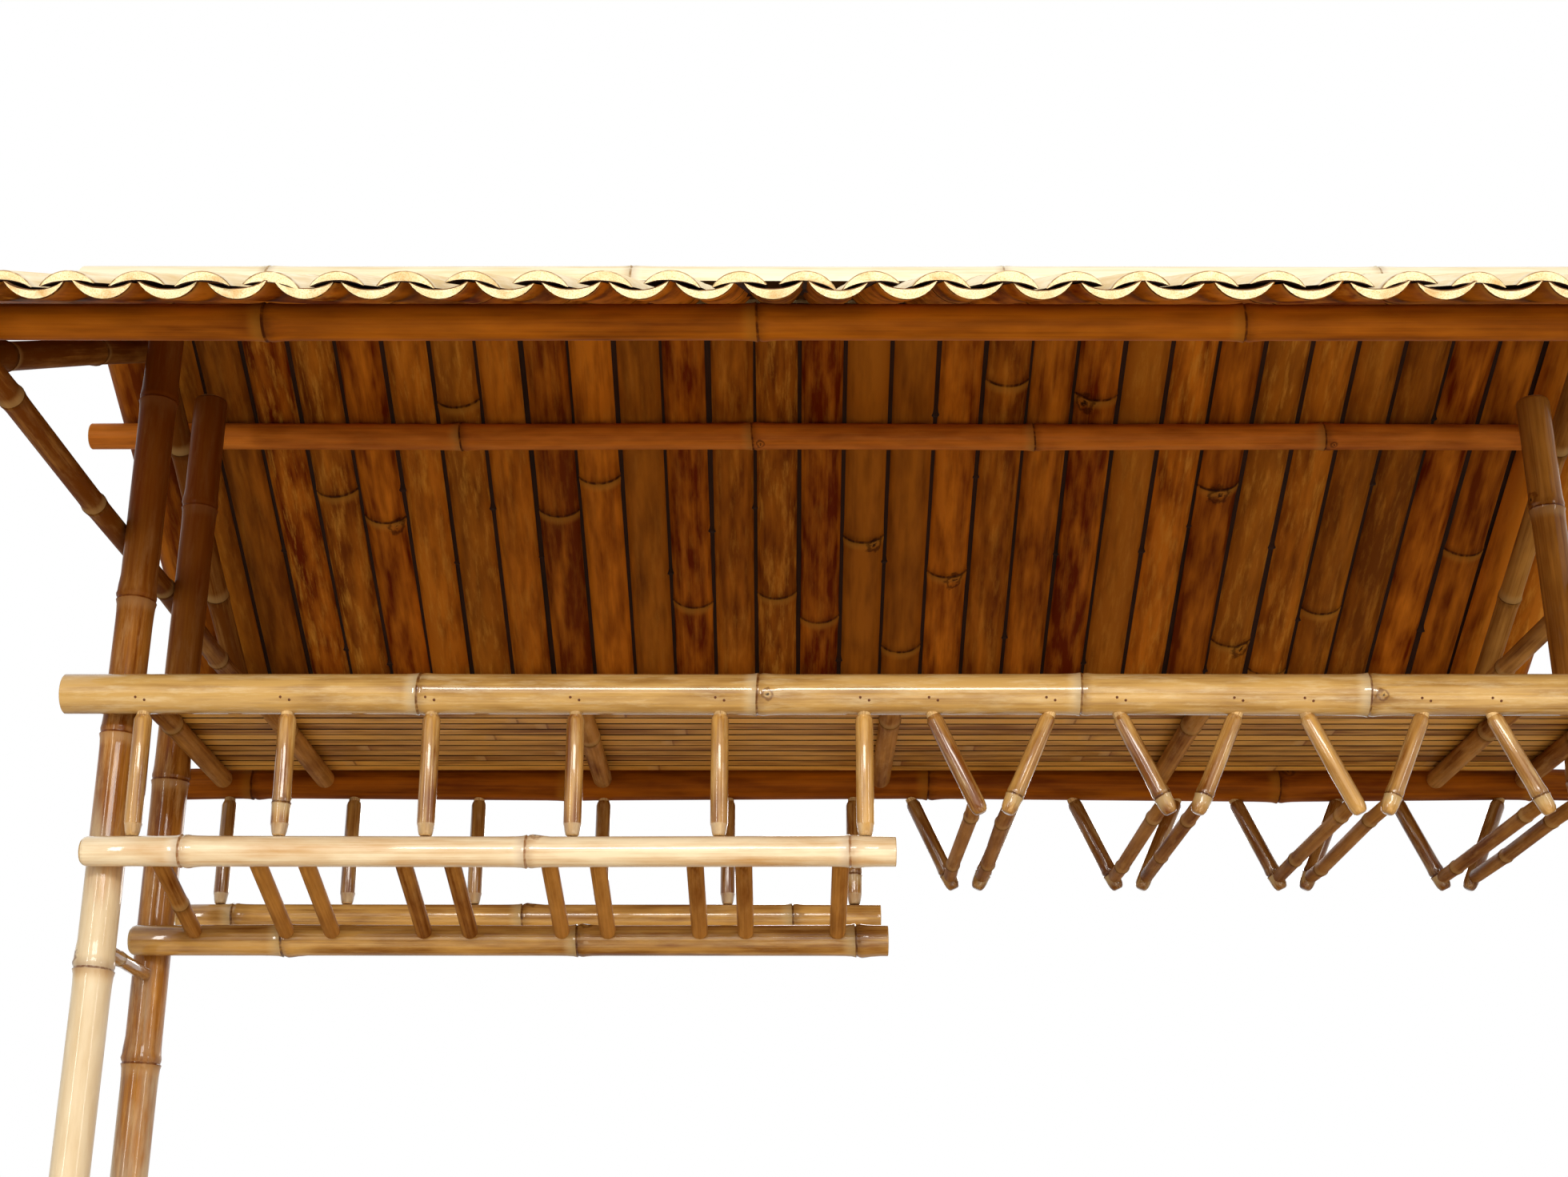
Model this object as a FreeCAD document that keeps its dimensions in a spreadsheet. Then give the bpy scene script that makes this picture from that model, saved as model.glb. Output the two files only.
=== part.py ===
import FreeCAD, Part
import math
import os
import Sketcher

os.makedirs("parts", exist_ok=True)
Vector = FreeCAD.Vector
Rotation = FreeCAD.Rotation
Placement = FreeCAD.Placement
ALONG_X = Vector(1, 0, 0)
ALONG_Y = Vector(0, 1, 0)
UPWARDS = Vector(0, 0, 1)
subparts = []

# Fit between pieces that bear on each other, and between ends that butt.
seat = 0.3

# Posts: two pairs that stand on the floor, one pair at each end of the hut.
post_diameter = 35
post_span = 1424
post_spacing = 169
second_post_rise = 13
peg_diameter = 14
peg_drop = 30
peg_pitch = 450

# Roof frame: the rafters' centre lines meet at the apex and fall to front and back.
# Runs are level distances from the ridge, and tails are lengths beyond the eave beams.
apex_level = 2327
roof_slope = 27.5
rafter_diameter = 26
rafter_tail = 30
tie_diameter = 22
tie_tail = 28
purlin_diameter = 30
purlin_overhang = 161
eave_run = 500
middle_run = 136

# Roof skin: thirds of a culm, hollow side up below and hollow side down above.
roof_tail = 100
roof_overhang = 135
tile_radius = 28.5
tile_wall = 6.5
tile_arc = 118
tile_gap = 2.5
ridge_gap = 4
cap_radius = 45
cap_wall = 7
cap_arc = 160

# Overhead rack: a front and a back beam with a slatted shelf between them.
rack_drop = 440
rack_depth = 318
front_beam_diameter = 39
front_beam_overhang = 43
back_beam_diameter = 34
back_beam_overhang = 30
joint_swell = 1.3
joint_flare = 8
joint_first = 326
joint_pitch = 302
bearer_diameter = 20
bearer_middle = 7
bearer_pitch = 292
board_width = 66
strip_width = 16
strip_gap = 3
strip_thickness = 6
strip_crown = 1.5

# Bottle rack below the left half of the beams. Drops are measured from the beams' level.
front_rail_drop = 146
low_rail_drop = 194
back_rail_drop = 142
front_rail_diameter = 28
low_rail_diameter = 30
back_rail_diameter = 27
bottle_rail_overhang = 13
first_rung_inset = 31
last_rung_inset = 27
rung_diameter = 17
back_rung_diameter = 16
rung_pitch = 132
cope_depth = 3
rod_diameter = 16
rod_spread = 88

# Glass hangers below the right half: pairs of slanted rungs that carry two rods.
hanger_first = 95
hanger_pitch = 171
hanger_top_spread = 107
hanger_foot_spread = 33
hanger_drop = 101
hanger_overrun = 12
hanger_rung_diameter = 16
hanger_rod_diameter = 14

# Bar counter round the lower half of the posts.
counter_level = 1050
counter_overhang = 78
counter_apron = 204
leg_setback = 367
rail_diameter = 30
counter_bearer_diameter = 24
foot_rail_level = 110
shelf_level = 480
deck_width = 56
deck_gap = 4
deck_thickness = 8
deck_crown = 2
slat_width = 44
slat_gap = 4
slat_thickness = 8
slat_foot = 45

# The sizes named above are the driving dimensions: each has its own cell in the sheet.
doc = FreeCAD.newDocument("bamboo_bar_hut")
sheet = doc.addObject("Spreadsheet::Sheet", "Sizes")
cells = []


def enter(alias, content):
    """Fills the next row of the sheet and gives its cell a name."""
    cells.append(alias)
    row = len(cells)
    sheet.set("A%d" % row, alias)
    sheet.set("B%d" % row, content)
    sheet.setAlias("B%d" % row, alias)


def derived(alias, formula):
    """Enters a size that follows from the driving dimensions and hands its value back."""
    enter(alias, "=" + formula)
    sheet.recompute()
    return float(sheet.get(alias))


for alias, value in list(globals().items()):
    if type(value) in (int, float):
        enter(alias, str(value))

# Places and sizes that follow from the driving dimensions.
slope = math.radians(roof_slope)
post_radius = post_diameter / 2
post_x = post_span / 2
post_face = post_x - post_radius
front_post_y = -middle_run
second_post_y = front_post_y + post_spacing
purlin_rise = derived(
    "purlin_rise",
    "(rafter_diameter / 2 + seat + purlin_diameter / 2) / cos(roof_slope)",
)
purlin_length = derived("purlin_length", "post_span + 2 * purlin_overhang")
derived(
    "front_post_top",
    "apex_level - middle_run * tan(roof_slope) + purlin_rise - purlin_diameter / 2 - seat",
)
derived("second_post_top", "front_post_top + second_post_rise")
rack_level = apex_level - rack_drop
front_beam_length = derived("front_beam_length", "post_span + 2 * front_beam_overhang")
back_beam_length = derived("back_beam_length", "post_span + 2 * back_beam_overhang")
front_beam_y = front_post_y - post_radius - seat - front_beam_diameter / 2
back_beam_y = front_beam_y + rack_depth
front_rail_y = front_post_y - post_radius - seat - front_rail_diameter / 2
low_rail_y = second_post_y - post_radius - seat - low_rail_diameter / 2
front_rail_level = rack_level - front_rail_drop
low_rail_level = rack_level - low_rail_drop
back_rail_level = rack_level - back_rail_drop
tie_level = apex_level - eave_run * math.tan(slope)
tie_x = post_x + post_radius + seat + tie_diameter / 2
rafter_x = tie_x + tie_diameter / 2 + seat + rafter_diameter / 2


def subpart(piece, label):
    """Gives a finished piece its own name and adds it to the list that is written out."""
    piece.Label = label
    subparts.append(piece)
    return piece


def pointing(start, direction):
    """Placement that puts a piece's foot at start and its own Z axis along direction."""
    return Placement(start, Rotation(UPWARDS, direction))


def pole(name, diameter, length, start, direction):
    """A straight round culm: diameter is an alias, length an expression."""
    piece = doc.addObject("Part::Cylinder", name)
    piece.setExpression("Radius", "Sizes.%s / 2" % diameter)
    piece.setExpression("Height", length)
    piece.Placement = pointing(start, direction)
    return piece


def rod(name, diameter, start, end, flats=12):
    """A stick from start to end, drawn with narrow flats because the hut has so many."""
    piece = doc.addObject("Part::Prism", name)
    piece.Polygon = flats
    piece.setExpression("Circumradius", "Sizes.%s / 2" % diameter)
    piece.Height = (end - start).Length
    piece.Placement = pointing(start, end - start)
    return piece


def bundle(name, pieces):
    """A compound of like pieces, which stay separate solids."""
    group = doc.addObject("Part::Compound", name)
    group.Links = pieces
    return group


def coped(name, pieces, saddle):
    """The pieces with the saddle's round shape cut out of their ends."""
    cut = doc.addObject("Part::Cut", name)
    cut.Base = pieces
    cut.Tool = saddle
    return cut


def origin_plane(body, role):
    """One of the body's own three base planes."""
    return [item for item in body.Origin.OriginFeatures if item.Role == role][0]


def profile(body, name, corners):
    """A closed outline on the body's XY plane; each corner is two (number, expression) pairs."""
    sketch = body.newObject("Sketcher::SketchObject", name)
    sketch.AttachmentSupport = [(origin_plane(body, "XY_Plane"), "")]
    sketch.MapMode = "FlatFace"
    count = len(corners)
    points = [Vector(across[0], up[0], 0) for across, up in corners]
    for index in range(count):
        sketch.addGeometry(Part.LineSegment(points[index], points[(index + 1) % count]), False)
    for index in range(count):
        sketch.addConstraint(Sketcher.Constraint("Coincident", index, 2, (index + 1) % count, 1))
    for index, pair in enumerate(corners):
        for kind, axis, (number, expression) in zip(("DistanceX", "DistanceY"), (-2, -1), pair):
            if expression == "0":
                sketch.addConstraint(Sketcher.Constraint("PointOnObject", index, 1, axis))
            else:
                place = sketch.addConstraint(Sketcher.Constraint(kind, -1, 1, index, 1, number))
                sketch.setExpression("Constraints[%d]" % place, expression)
    return sketch


def padded_row(name, corners, length, pitch, count):
    """A body that pads the outline to a length and repeats it sideways at a pitch."""
    body = doc.addObject("PartDesign::Body", name)
    sketch = profile(body, name + "_outline", corners)
    pad = body.newObject("PartDesign::Pad", name + "_pad")
    pad.Profile = sketch
    pad.setExpression("Length", length)
    body.Tip = pad
    doc.recompute()
    if count > 1:
        row = body.newObject("PartDesign::LinearPattern", name + "_row")
        row.Originals = [pad]
        row.Direction = (sketch, ["H_Axis"])
        row.Occurrences = count
        row.setExpression("Length", "(%s) * %d" % (pitch, count - 1))
        body.Tip = row
    return body


def crowned(width, thickness, crown):
    """Outline of a flattened bamboo strip: flat back and a slightly crowned face."""
    w = "Sizes." + width
    t = "Sizes." + thickness
    c = "Sizes." + crown
    wide = float(sheet.get(width))
    thick = float(sheet.get(thickness))
    bulge = float(sheet.get(crown))
    return [
        ((0, "0"), (0, "0")),
        ((wide, w), (0, "0")),
        ((wide, w), (thick - bulge, "%s - %s" % (t, c))),
        ((wide / 2, w + " / 2"), (thick, t)),
        ((0, "0"), (thick - bulge, "%s - %s" % (t, c))),
    ]


def arc_strip(radius, wall, arc, centre, hollow_up, outer_flats, inner_flats):
    """Outline of a split culm: a fan of flats outside and one flat fewer inside."""
    sign = -1 if hollow_up else 1
    half_chord = "Sizes.%s * sin(Sizes.%s / 2)" % (radius, arc)
    outer = float(sheet.get(radius))
    inner = outer - float(sheet.get(wall))
    half = math.radians(float(sheet.get(arc))) / 2
    middle = float(sheet.get(centre))
    corners = []

    def corner(size, size_text, part):
        angle = part * half
        angle_text = "Sizes.%s / 2 * %.6f" % (arc, part)
        across = outer * math.sin(half) + size * math.sin(angle)
        up = middle + sign * size * math.cos(angle)
        across_text = "%s + %s * sin(%s)" % (half_chord, size_text, angle_text)
        up_text = "Sizes.%s + %d * %s * cos(%s)" % (centre, sign, size_text, angle_text)
        return ((across, across_text), (up, up_text))

    for step in range(outer_flats + 1):
        part = -1 + 2 * step / outer_flats
        corners.append(corner(outer, "Sizes." + radius, part))
    for step in range(inner_flats + 1):
        part = 1 - 2 * step / inner_flats
        corners.append(corner(inner, "(Sizes.%s - Sizes.%s)" % (radius, wall), part))
    return corners


# Four posts. The front pair carries the front middle purlin on its ends.
for side, mark in (("left", -1), ("right", 1)):
    foot = Vector(mark * post_x, front_post_y, 0)
    name = "post_front_" + side
    subpart(pole(name, "post_diameter", "Sizes.front_post_top", foot, UPWARDS), name)
    foot = Vector(mark * post_x, second_post_y, 0)
    name = "post_second_" + side
    subpart(pole(name, "post_diameter", "Sizes.second_post_top", foot, UPWARDS), name)

# Pegs between the two posts of a pair, one above another like the rungs of a ladder.
peg_top = low_rail_level - peg_drop
peg_levels = [peg_top - peg_pitch * step for step in range(int(peg_top / peg_pitch) + 1)]
for side, mark in (("left", -1), ("right", 1)):
    pegs = []
    for index, level in enumerate(peg_levels):
        start = Vector(mark * post_x, front_post_y + post_radius + seat, level)
        end = Vector(mark * post_x, second_post_y - post_radius - seat, level)
        pegs.append(rod("peg_%s_%d" % (side, index + 1), "peg_diameter", start, end))
    subpart(bundle("post_pegs_" + side, pegs), "post_pegs_" + side)

# Rafters: a pair at each end, mitred against each other at the ridge.
mitres = []
for name, edge in (("mitre_front", -seat / 2), ("mitre_back", seat / 2 - 3 * rafter_diameter)):
    mitre = doc.addObject("Part::Box", name)
    mitre.setExpression("Length", "Sizes.purlin_length")
    mitre.setExpression("Width", "3 * Sizes.rafter_diameter")
    mitre.setExpression("Height", "6 * Sizes.rafter_diameter")
    mitre.Placement.Base = Vector(-purlin_length / 2, edge, apex_level - 3 * rafter_diameter)
    mitres.append(mitre)
for face, turn, mitre in (("front", -1, mitres[0]), ("back", 1, mitres[1])):
    for side, mark in (("left", -1), ("right", 1)):
        name = "rafter_%s_%s" % (face, side)
        fall = Vector(0, turn * math.cos(slope), -math.sin(slope))
        start = Vector(mark * rafter_x, 0, apex_level) - fall * rafter_diameter
        length = (
            "(Sizes.eave_run + Sizes.rafter_tail) / cos(Sizes.roof_slope) + Sizes.rafter_diameter"
        )
        stock = pole(name + "_stock", "rafter_diameter", length, start, fall)
        subpart(coped(name, stock, mitre), name)

# Tie poles: they lie against the outer sides of both posts and hold the rafters' feet.
for side, mark in (("left", -1), ("right", 1)):
    start = Vector(mark * tie_x, -eave_run - tie_tail, tie_level)
    name = "tie_pole_" + side
    length = "2 * (Sizes.eave_run + Sizes.tie_tail)"
    subpart(pole(name, "tie_diameter", length, start, ALONG_Y), name)

# Five poles along the hut lie on the rafters and carry the roof skin.
for name, run in (
    ("eave_beam_front", -eave_run),
    ("purlin_front", -middle_run),
    ("ridge_pole", 0),
    ("purlin_back", middle_run),
    ("eave_beam_back", eave_run),
):
    level = apex_level - abs(run) * math.tan(slope) + purlin_rise
    start = Vector(-purlin_length / 2, run, level)
    subpart(pole(name, "purlin_diameter", "Sizes.purlin_length", start, ALONG_X), name)

# Roof skin. The upper tiles' edges stand in the lower tiles' hollows, and the lower
# tiles' edges reach up under the upper tiles, so both layers close each other's joints.
tile_pitch = derived("tile_pitch", "2 * tile_radius * sin(tile_arc / 2) + tile_gap")
tile_bed = derived("tile_bed", "rafter_diameter / 2 + purlin_diameter + 2 * seat")
derived(
    "upper_centre",
    "tile_radius + seat - (tile_radius - tile_wall) * (cos(tile_arc / 2) + cos(tile_arc / 6))",
)
tile_stack = derived("tile_stack", "upper_centre + tile_radius")
tile_start = derived("tile_start", "ridge_gap / 2 / cos(roof_slope) - tile_bed * tan(roof_slope)")
derived(
    "tile_length",
    "(eave_run + roof_tail - (tile_bed + tile_stack) * sin(roof_slope)) / cos(roof_slope)"
    " - tile_start",
)
tile_count = round((post_span + 2 * roof_overhang + tile_gap) / tile_pitch)
roof_length = derived("roof_length", "%d * tile_pitch - tile_gap" % tile_count)
layers = (
    ("lower", "tile_radius", True, tile_count, 0.0),
    ("upper", "upper_centre", False, tile_count - 1, tile_pitch / 2),
)
for face, turn in (("front", 0), ("back", 180)):
    for layer, centre, hollow_up, count, shift in layers:
        name = "roof_tiles_%s_%s" % (layer, face)
        outline = arc_strip("tile_radius", "tile_wall", "tile_arc", centre, hollow_up, 4, 3)
        tiles = padded_row(name, outline, "Sizes.tile_length", "Sizes.tile_pitch", count)
        lean = Placement(Vector(0, 0, apex_level), Rotation(ALONG_X, 90 + roof_slope))
        bed = Placement(Vector(shift - roof_length / 2, tile_bed, tile_start), Rotation())
        tiles.Placement = Placement(Vector(), Rotation(UPWARDS, turn)) * lean * bed
        subpart(tiles, name)

# Ridge cap: the larger half culm that covers the joint between the two slopes.
cap_foot = derived("cap_foot", "(cap_radius - cap_wall) * sin(cap_arc / 2)")
derived(
    "cap_centre",
    "(tile_bed + tile_stack - cap_foot * sin(roof_slope)) / cos(roof_slope) + seat"
    " - (cap_radius - cap_wall) * cos(cap_arc / 2)",
)
outline = arc_strip("cap_radius", "cap_wall", "cap_arc", "cap_centre", False, 8, 7)
cap = padded_row("ridge_cap", outline, "Sizes.roof_length", "0", 1)
cap_half = cap_radius * math.sin(math.radians(cap_arc / 2))
FLAT_ALONG_X = Rotation(Vector(1, 1, 1), 120)
cap.Placement = Placement(Vector(-roof_length / 2, -cap_half, apex_level), FLAT_ALONG_X)
subpart(cap, "ridge_cap")

# Front rack beam: a thick culm turned with its joints. The posts' fronts carry it.
joint_count = int((front_beam_length - joint_first) / joint_pitch) + 1
front_beam = doc.addObject("PartDesign::Body", "rack_beam_front")
radius = front_beam_diameter / 2
radius_text = "Sizes.front_beam_diameter / 2"
swell_text = radius_text + " + Sizes.joint_swell"
corners = [((0, "0"), (0, "0")), ((0, "0"), (radius, radius_text))]
for step in range(joint_count):
    crest = joint_first + step * joint_pitch
    crest_text = "Sizes.joint_first + %d * Sizes.joint_pitch" % step
    corners.append(((crest - joint_flare, crest_text + " - Sizes.joint_flare"), (radius, radius_text)))
    corners.append(((crest, crest_text), (radius + joint_swell, swell_text)))
    corners.append(
        ((crest + joint_swell, crest_text + " + Sizes.joint_swell"), (radius, radius_text))
    )
corners.append(((front_beam_length, "Sizes.front_beam_length"), (radius, radius_text)))
corners.append(((front_beam_length, "Sizes.front_beam_length"), (0, "0")))
half_section = profile(front_beam, "rack_beam_half_section", corners)
turned = front_beam.newObject("PartDesign::Revolution", "rack_beam_turned")
turned.Profile = half_section
turned.ReferenceAxis = (half_section, ["H_Axis"])
turned.Angle = 360
front_beam.Tip = turned
front_beam.Placement = Placement(
    Vector(-front_beam_length / 2, front_beam_y, rack_level), Rotation()
)
subpart(front_beam, "rack_beam_front")

# Back rack beam, held level with the front beam by the bearers.
back_beam = pole(
    "rack_beam_back",
    "back_beam_diameter",
    "Sizes.back_beam_length",
    Vector(-back_beam_length / 2, back_beam_y, rack_level),
    ALONG_X,
)
subpart(back_beam, "rack_beam_back")

# Bearers between the beams. The end ones are pinned to the posts' inner sides.
bearer_end = post_face - seat - bearer_diameter / 2
bearer_room = bearer_end - bearer_diameter - abs(bearer_middle)
inner_bearers = int(bearer_room / bearer_pitch)
bearer_places = [-bearer_end]
for step in range(-inner_bearers, inner_bearers + 1):
    bearer_places.append(bearer_middle + step * bearer_pitch)
bearer_places.append(bearer_end)
bearer_front = front_beam_y + front_beam_diameter / 2 + seat
bearer_back = back_beam_y - back_beam_diameter / 2 - seat
for index, place in enumerate(bearer_places):
    name = "rack_bearer_%d" % (index + 1)
    start = Vector(place, bearer_front, rack_level)
    end = Vector(place, bearer_back, rack_level)
    subpart(rod(name, "bearer_diameter", start, end), name)

# Rack shelf: one wide board beside the front beam, then narrow strips to the back beam.
shelf_length = derived("shelf_length", "post_span - post_diameter - 2 * strip_gap")
shelf_bottom = rack_level + bearer_diameter / 2 + seat
outline = crowned("board_width", "strip_thickness", "strip_crown")
board = padded_row("rack_shelf_board", outline, "Sizes.shelf_length", "0", 1)
board.Placement = Placement(
    Vector(-shelf_length / 2, bearer_front + strip_gap, shelf_bottom), FLAT_ALONG_X
)
subpart(board, "rack_shelf_board")
strips_start = bearer_front + board_width + 2 * strip_gap
strip_count = int((bearer_back + strip_gap - strips_start) / (strip_width + strip_gap))
outline = crowned("strip_width", "strip_thickness", "strip_crown")
strips = padded_row(
    "rack_shelf_strips",
    outline,
    "Sizes.shelf_length",
    "Sizes.strip_width + Sizes.strip_gap",
    strip_count,
)
strips.Placement = Placement(Vector(-shelf_length / 2, strips_start, shelf_bottom), FLAT_ALONG_X)
subpart(strips, "rack_shelf_strips")

# Three rails of the bottle rack: front, low middle and back. As many rungs hang them from
# the beams as fit between the left posts and the first glass hanger.
first_rung = -post_x + first_rung_inset
rung_room = hanger_first - hanger_top_spread / 2 - rung_diameter - first_rung
rung_count = int(rung_room / rung_pitch) + 1
rung_places = [first_rung + rung_pitch * step for step in range(rung_count)]
derived(
    "bottle_rail_length",
    "bottle_rail_overhang + first_rung_inset + %d * rung_pitch + last_rung_inset"
    % (rung_count - 1),
)
for name, diameter, rail_y, level in (
    ("bottle_rail_front", "front_rail_diameter", front_rail_y, front_rail_level),
    ("bottle_rail_low", "low_rail_diameter", low_rail_y, low_rail_level),
    ("bottle_rail_back", "back_rail_diameter", back_beam_y, back_rail_level),
):
    start = Vector(-post_x - bottle_rail_overhang, rail_y, level)
    subpart(pole(name, diameter, "Sizes.bottle_rail_length", start, ALONG_X), name)

# The front beam one fit larger copes the tops of the rungs below it. The rungs below the
# back beam, which nobody sees from the counter, are sawn off level under it.
saddle_front = pole("saddle_front", "front_beam_diameter", "Sizes.purlin_length", Vector(), ALONG_X)
saddle_front.setExpression("Radius", "Sizes.front_beam_diameter / 2 + Sizes.seat")
saddle_front.Placement = pointing(Vector(-purlin_length / 2, front_beam_y, rack_level), ALONG_X)
level_saw = doc.addObject("Part::Box", "level_saw")
level_saw.setExpression("Length", "Sizes.purlin_length")
level_saw.setExpression("Width", "Sizes.back_beam_diameter * 2")
level_saw.setExpression("Height", "Sizes.back_beam_diameter")
level_saw.Placement.Base = Vector(
    -purlin_length / 2,
    back_beam_y - back_beam_diameter,
    rack_level - back_beam_diameter / 2 - seat,
)

# Rungs of the bottle rack: one row in front and one row behind.
front_rungs = []
back_rungs = []
for index, place in enumerate(rung_places):
    top = Vector(place, front_beam_y, rack_level - front_beam_diameter / 2 + cope_depth)
    foot = Vector(place, front_rail_y, front_rail_level + front_rail_diameter / 2 + seat)
    front_rungs.append(rod("front_rung_%d" % (index + 1), "rung_diameter", foot, top))
    top = Vector(place, back_beam_y, rack_level - back_beam_diameter / 2 + cope_depth)
    foot = Vector(place, back_beam_y, back_rail_level + back_rail_diameter / 2 + seat)
    back_rungs.append(rod("back_rung_%d" % (index + 1), "back_rung_diameter", foot, top))
front_row = bundle("front_rung_row", front_rungs)
subpart(coped("bottle_rungs_front", front_row, saddle_front), "bottle_rungs_front")
back_row = bundle("back_rung_row", back_rungs)
subpart(coped("bottle_rungs_back", back_row, level_saw), "bottle_rungs_back")

# Bottle rods slope from the front rail down to the low rail, a pair in every bay.
front_rail_line = Vector(0, front_rail_y, front_rail_level)
low_rail_line = Vector(0, low_rail_y, low_rail_level)
rod_run = low_rail_line - front_rail_line
rod_run.normalize()
rods = []
for index in range(rung_count - 1):
    bay = (rung_places[index] + rung_places[index + 1]) / 2
    for mark in (-1, 1):
        sideways = ALONG_X * (bay + mark * rod_spread / 2)
        start = front_rail_line + sideways + rod_run * (front_rail_diameter / 2 + seat)
        end = low_rail_line + sideways - rod_run * (low_rail_diameter / 2 + seat)
        rods.append(rod("bottle_rod_%d" % (len(rods) + 1), "rod_diameter", start, end))
subpart(bundle("bottle_rods", rods), "bottle_rods")

# Glass hangers, as many as fit before the right posts: a leaning pair of rungs under each
# beam and two rods between the pairs.
hanger_room = post_face - hanger_first - hanger_top_spread / 2 - hanger_rung_diameter / 2
hanger_count = int(hanger_room / hanger_pitch) + 1
hanger_level = rack_level - hanger_drop
lean = Vector(
    (hanger_top_spread - hanger_foot_spread) / 2, 0, hanger_drop - front_beam_diameter / 2
)
lean.normalize()
for unit in range(hanger_count):
    centre = hanger_first + hanger_pitch * unit
    pieces = []
    for mark in (-1, 1):
        upward = Vector(mark * lean.x, 0, lean.z)
        foot_x = centre + mark * hanger_foot_spread / 2
        for beam_y in (front_beam_y, back_beam_y):
            knee = Vector(foot_x, beam_y, hanger_level)
            start = knee - upward * hanger_overrun
            end = knee + upward * hanger_drop
            name = "hanger_rung_%d_%d" % (unit + 1, len(pieces) + 1)
            pieces.append(rod(name, "hanger_rung_diameter", start, end))
        start = Vector(foot_x, front_beam_y + hanger_rung_diameter / 2 + seat, hanger_level)
        end = Vector(foot_x, back_beam_y - hanger_rung_diameter / 2 - seat, hanger_level)
        name = "hanger_rod_%d_%d" % (unit + 1, len(pieces) + 1)
        pieces.append(rod(name, "hanger_rod_diameter", start, end))
    name = "glass_hanger_%d" % (unit + 1)
    both = bundle(name + "_cutters", [saddle_front, level_saw])
    subpart(coped(name, bundle(name + "_sticks", pieces), both), name)

# Counter frame: rails along the front and the back, and side rails at the floor.
leg_y = second_post_y + leg_setback
counter_front = front_post_y - counter_apron
counter_back = leg_y + rail_diameter
counter_length = derived("counter_length", "post_span + 2 * counter_overhang")
deck_bottom = counter_level - deck_thickness
bearer_level = deck_bottom - seat - counter_bearer_diameter / 2
top_rail_level = bearer_level - counter_bearer_diameter / 2 - seat - rail_diameter / 2
front_rail_place = front_post_y - post_radius - seat - rail_diameter / 2
inner_rail_place = leg_y - post_radius - seat - rail_diameter / 2
shelf_rail_place = second_post_y + post_radius + seat + rail_diameter / 2
side_rail_x = post_x + post_radius + seat + rail_diameter / 2
inner_end = post_x + post_radius
outer_end = counter_length / 2
for name, end, rail_y, level in (
    ("counter_rail_front", outer_end, front_rail_place, top_rail_level),
    ("counter_rail_back", outer_end, leg_y, top_rail_level),
    ("foot_rail_front", outer_end, front_rail_place, foot_rail_level),
    ("foot_rail_back", inner_end, inner_rail_place, foot_rail_level),
    ("shelf_rail_front", inner_end, shelf_rail_place, shelf_level),
    ("shelf_rail_back", inner_end, inner_rail_place, shelf_level),
):
    rail = rod(name, "rail_diameter", Vector(-end, rail_y, level), Vector(end, rail_y, level), 16)
    subpart(rail, name)
derived(
    "leg_height",
    "counter_level - deck_thickness - counter_bearer_diameter - rail_diameter - 3 * seat",
)
for side, mark in (("left", -1), ("right", 1)):
    name = "foot_rail_" + side
    start = Vector(
        mark * side_rail_x, front_rail_place + rail_diameter / 2 + seat, foot_rail_level
    )
    end = Vector(mark * side_rail_x, leg_y + post_radius, foot_rail_level)
    subpart(rod(name, "rail_diameter", start, end, 16), name)
    name = "leg_back_" + side
    foot = Vector(mark * post_x, leg_y, 0)
    subpart(pole(name, "post_diameter", "Sizes.leg_height", foot, UPWARDS), name)

# Cross bearers under the counter deck, the outer ones on both sides of each post pair.
inner_x = post_x - post_radius - seat - counter_bearer_diameter / 2
outer_x = post_x + post_radius + seat + counter_bearer_diameter / 2
bearers = []
for place in (-outer_x, -inner_x, -inner_x / 2, 0, inner_x / 2, inner_x, outer_x):
    start = Vector(place, counter_front, bearer_level)
    end = Vector(place, counter_back, bearer_level)
    name = "counter_bearer_%d" % (len(bearers) + 1)
    bearers.append(rod(name, "counter_bearer_diameter", start, end))
subpart(bundle("counter_bearers", bearers), "counter_bearers")

# Counter deck in three fields: in front of the posts, between the pairs, and behind them.
field_length = derived("field_length", "post_span - post_diameter - 2 * deck_gap")
deck_pitch = deck_width + deck_gap
outline = crowned("deck_width", "deck_thickness", "deck_crown")
for name, field_from, field_to, length, long_name in (
    ("front", counter_front, front_post_y - post_radius, counter_length, "counter_length"),
    (
        "middle",
        front_post_y - post_radius,
        second_post_y + post_radius,
        field_length,
        "field_length",
    ),
    ("back", second_post_y + post_radius, counter_back, counter_length, "counter_length"),
):
    count = int((field_to - field_from + deck_gap) / deck_pitch)
    spare = field_to - field_from + deck_gap - count * deck_pitch
    name = "counter_deck_" + name
    deck = padded_row(
        name, outline, "Sizes." + long_name, "Sizes.deck_width + Sizes.deck_gap", count
    )
    deck.Placement = Placement(
        Vector(-length / 2, field_from + spare / 2, deck_bottom), FLAT_ALONG_X
    )
    subpart(deck, name)

# Counter front: upright strips nailed to the two front rails.
slat_pitch = slat_width + slat_gap
slat_count = int((counter_length + slat_gap) / slat_pitch)
slat_row = slat_count * slat_pitch - slat_gap
derived(
    "slat_height",
    "counter_level - deck_thickness - counter_bearer_diameter - 3 * seat - slat_foot",
)
outline = crowned("slat_width", "slat_thickness", "deck_crown")
slats = padded_row(
    "counter_slats",
    outline,
    "Sizes.slat_height",
    "Sizes.slat_width + Sizes.slat_gap",
    slat_count,
)
slats.Placement = Placement(
    Vector(slat_row / 2, front_rail_place - rail_diameter / 2 - seat, slat_foot),
    Rotation(UPWARDS, 180),
)
subpart(slats, "counter_slats")

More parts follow.
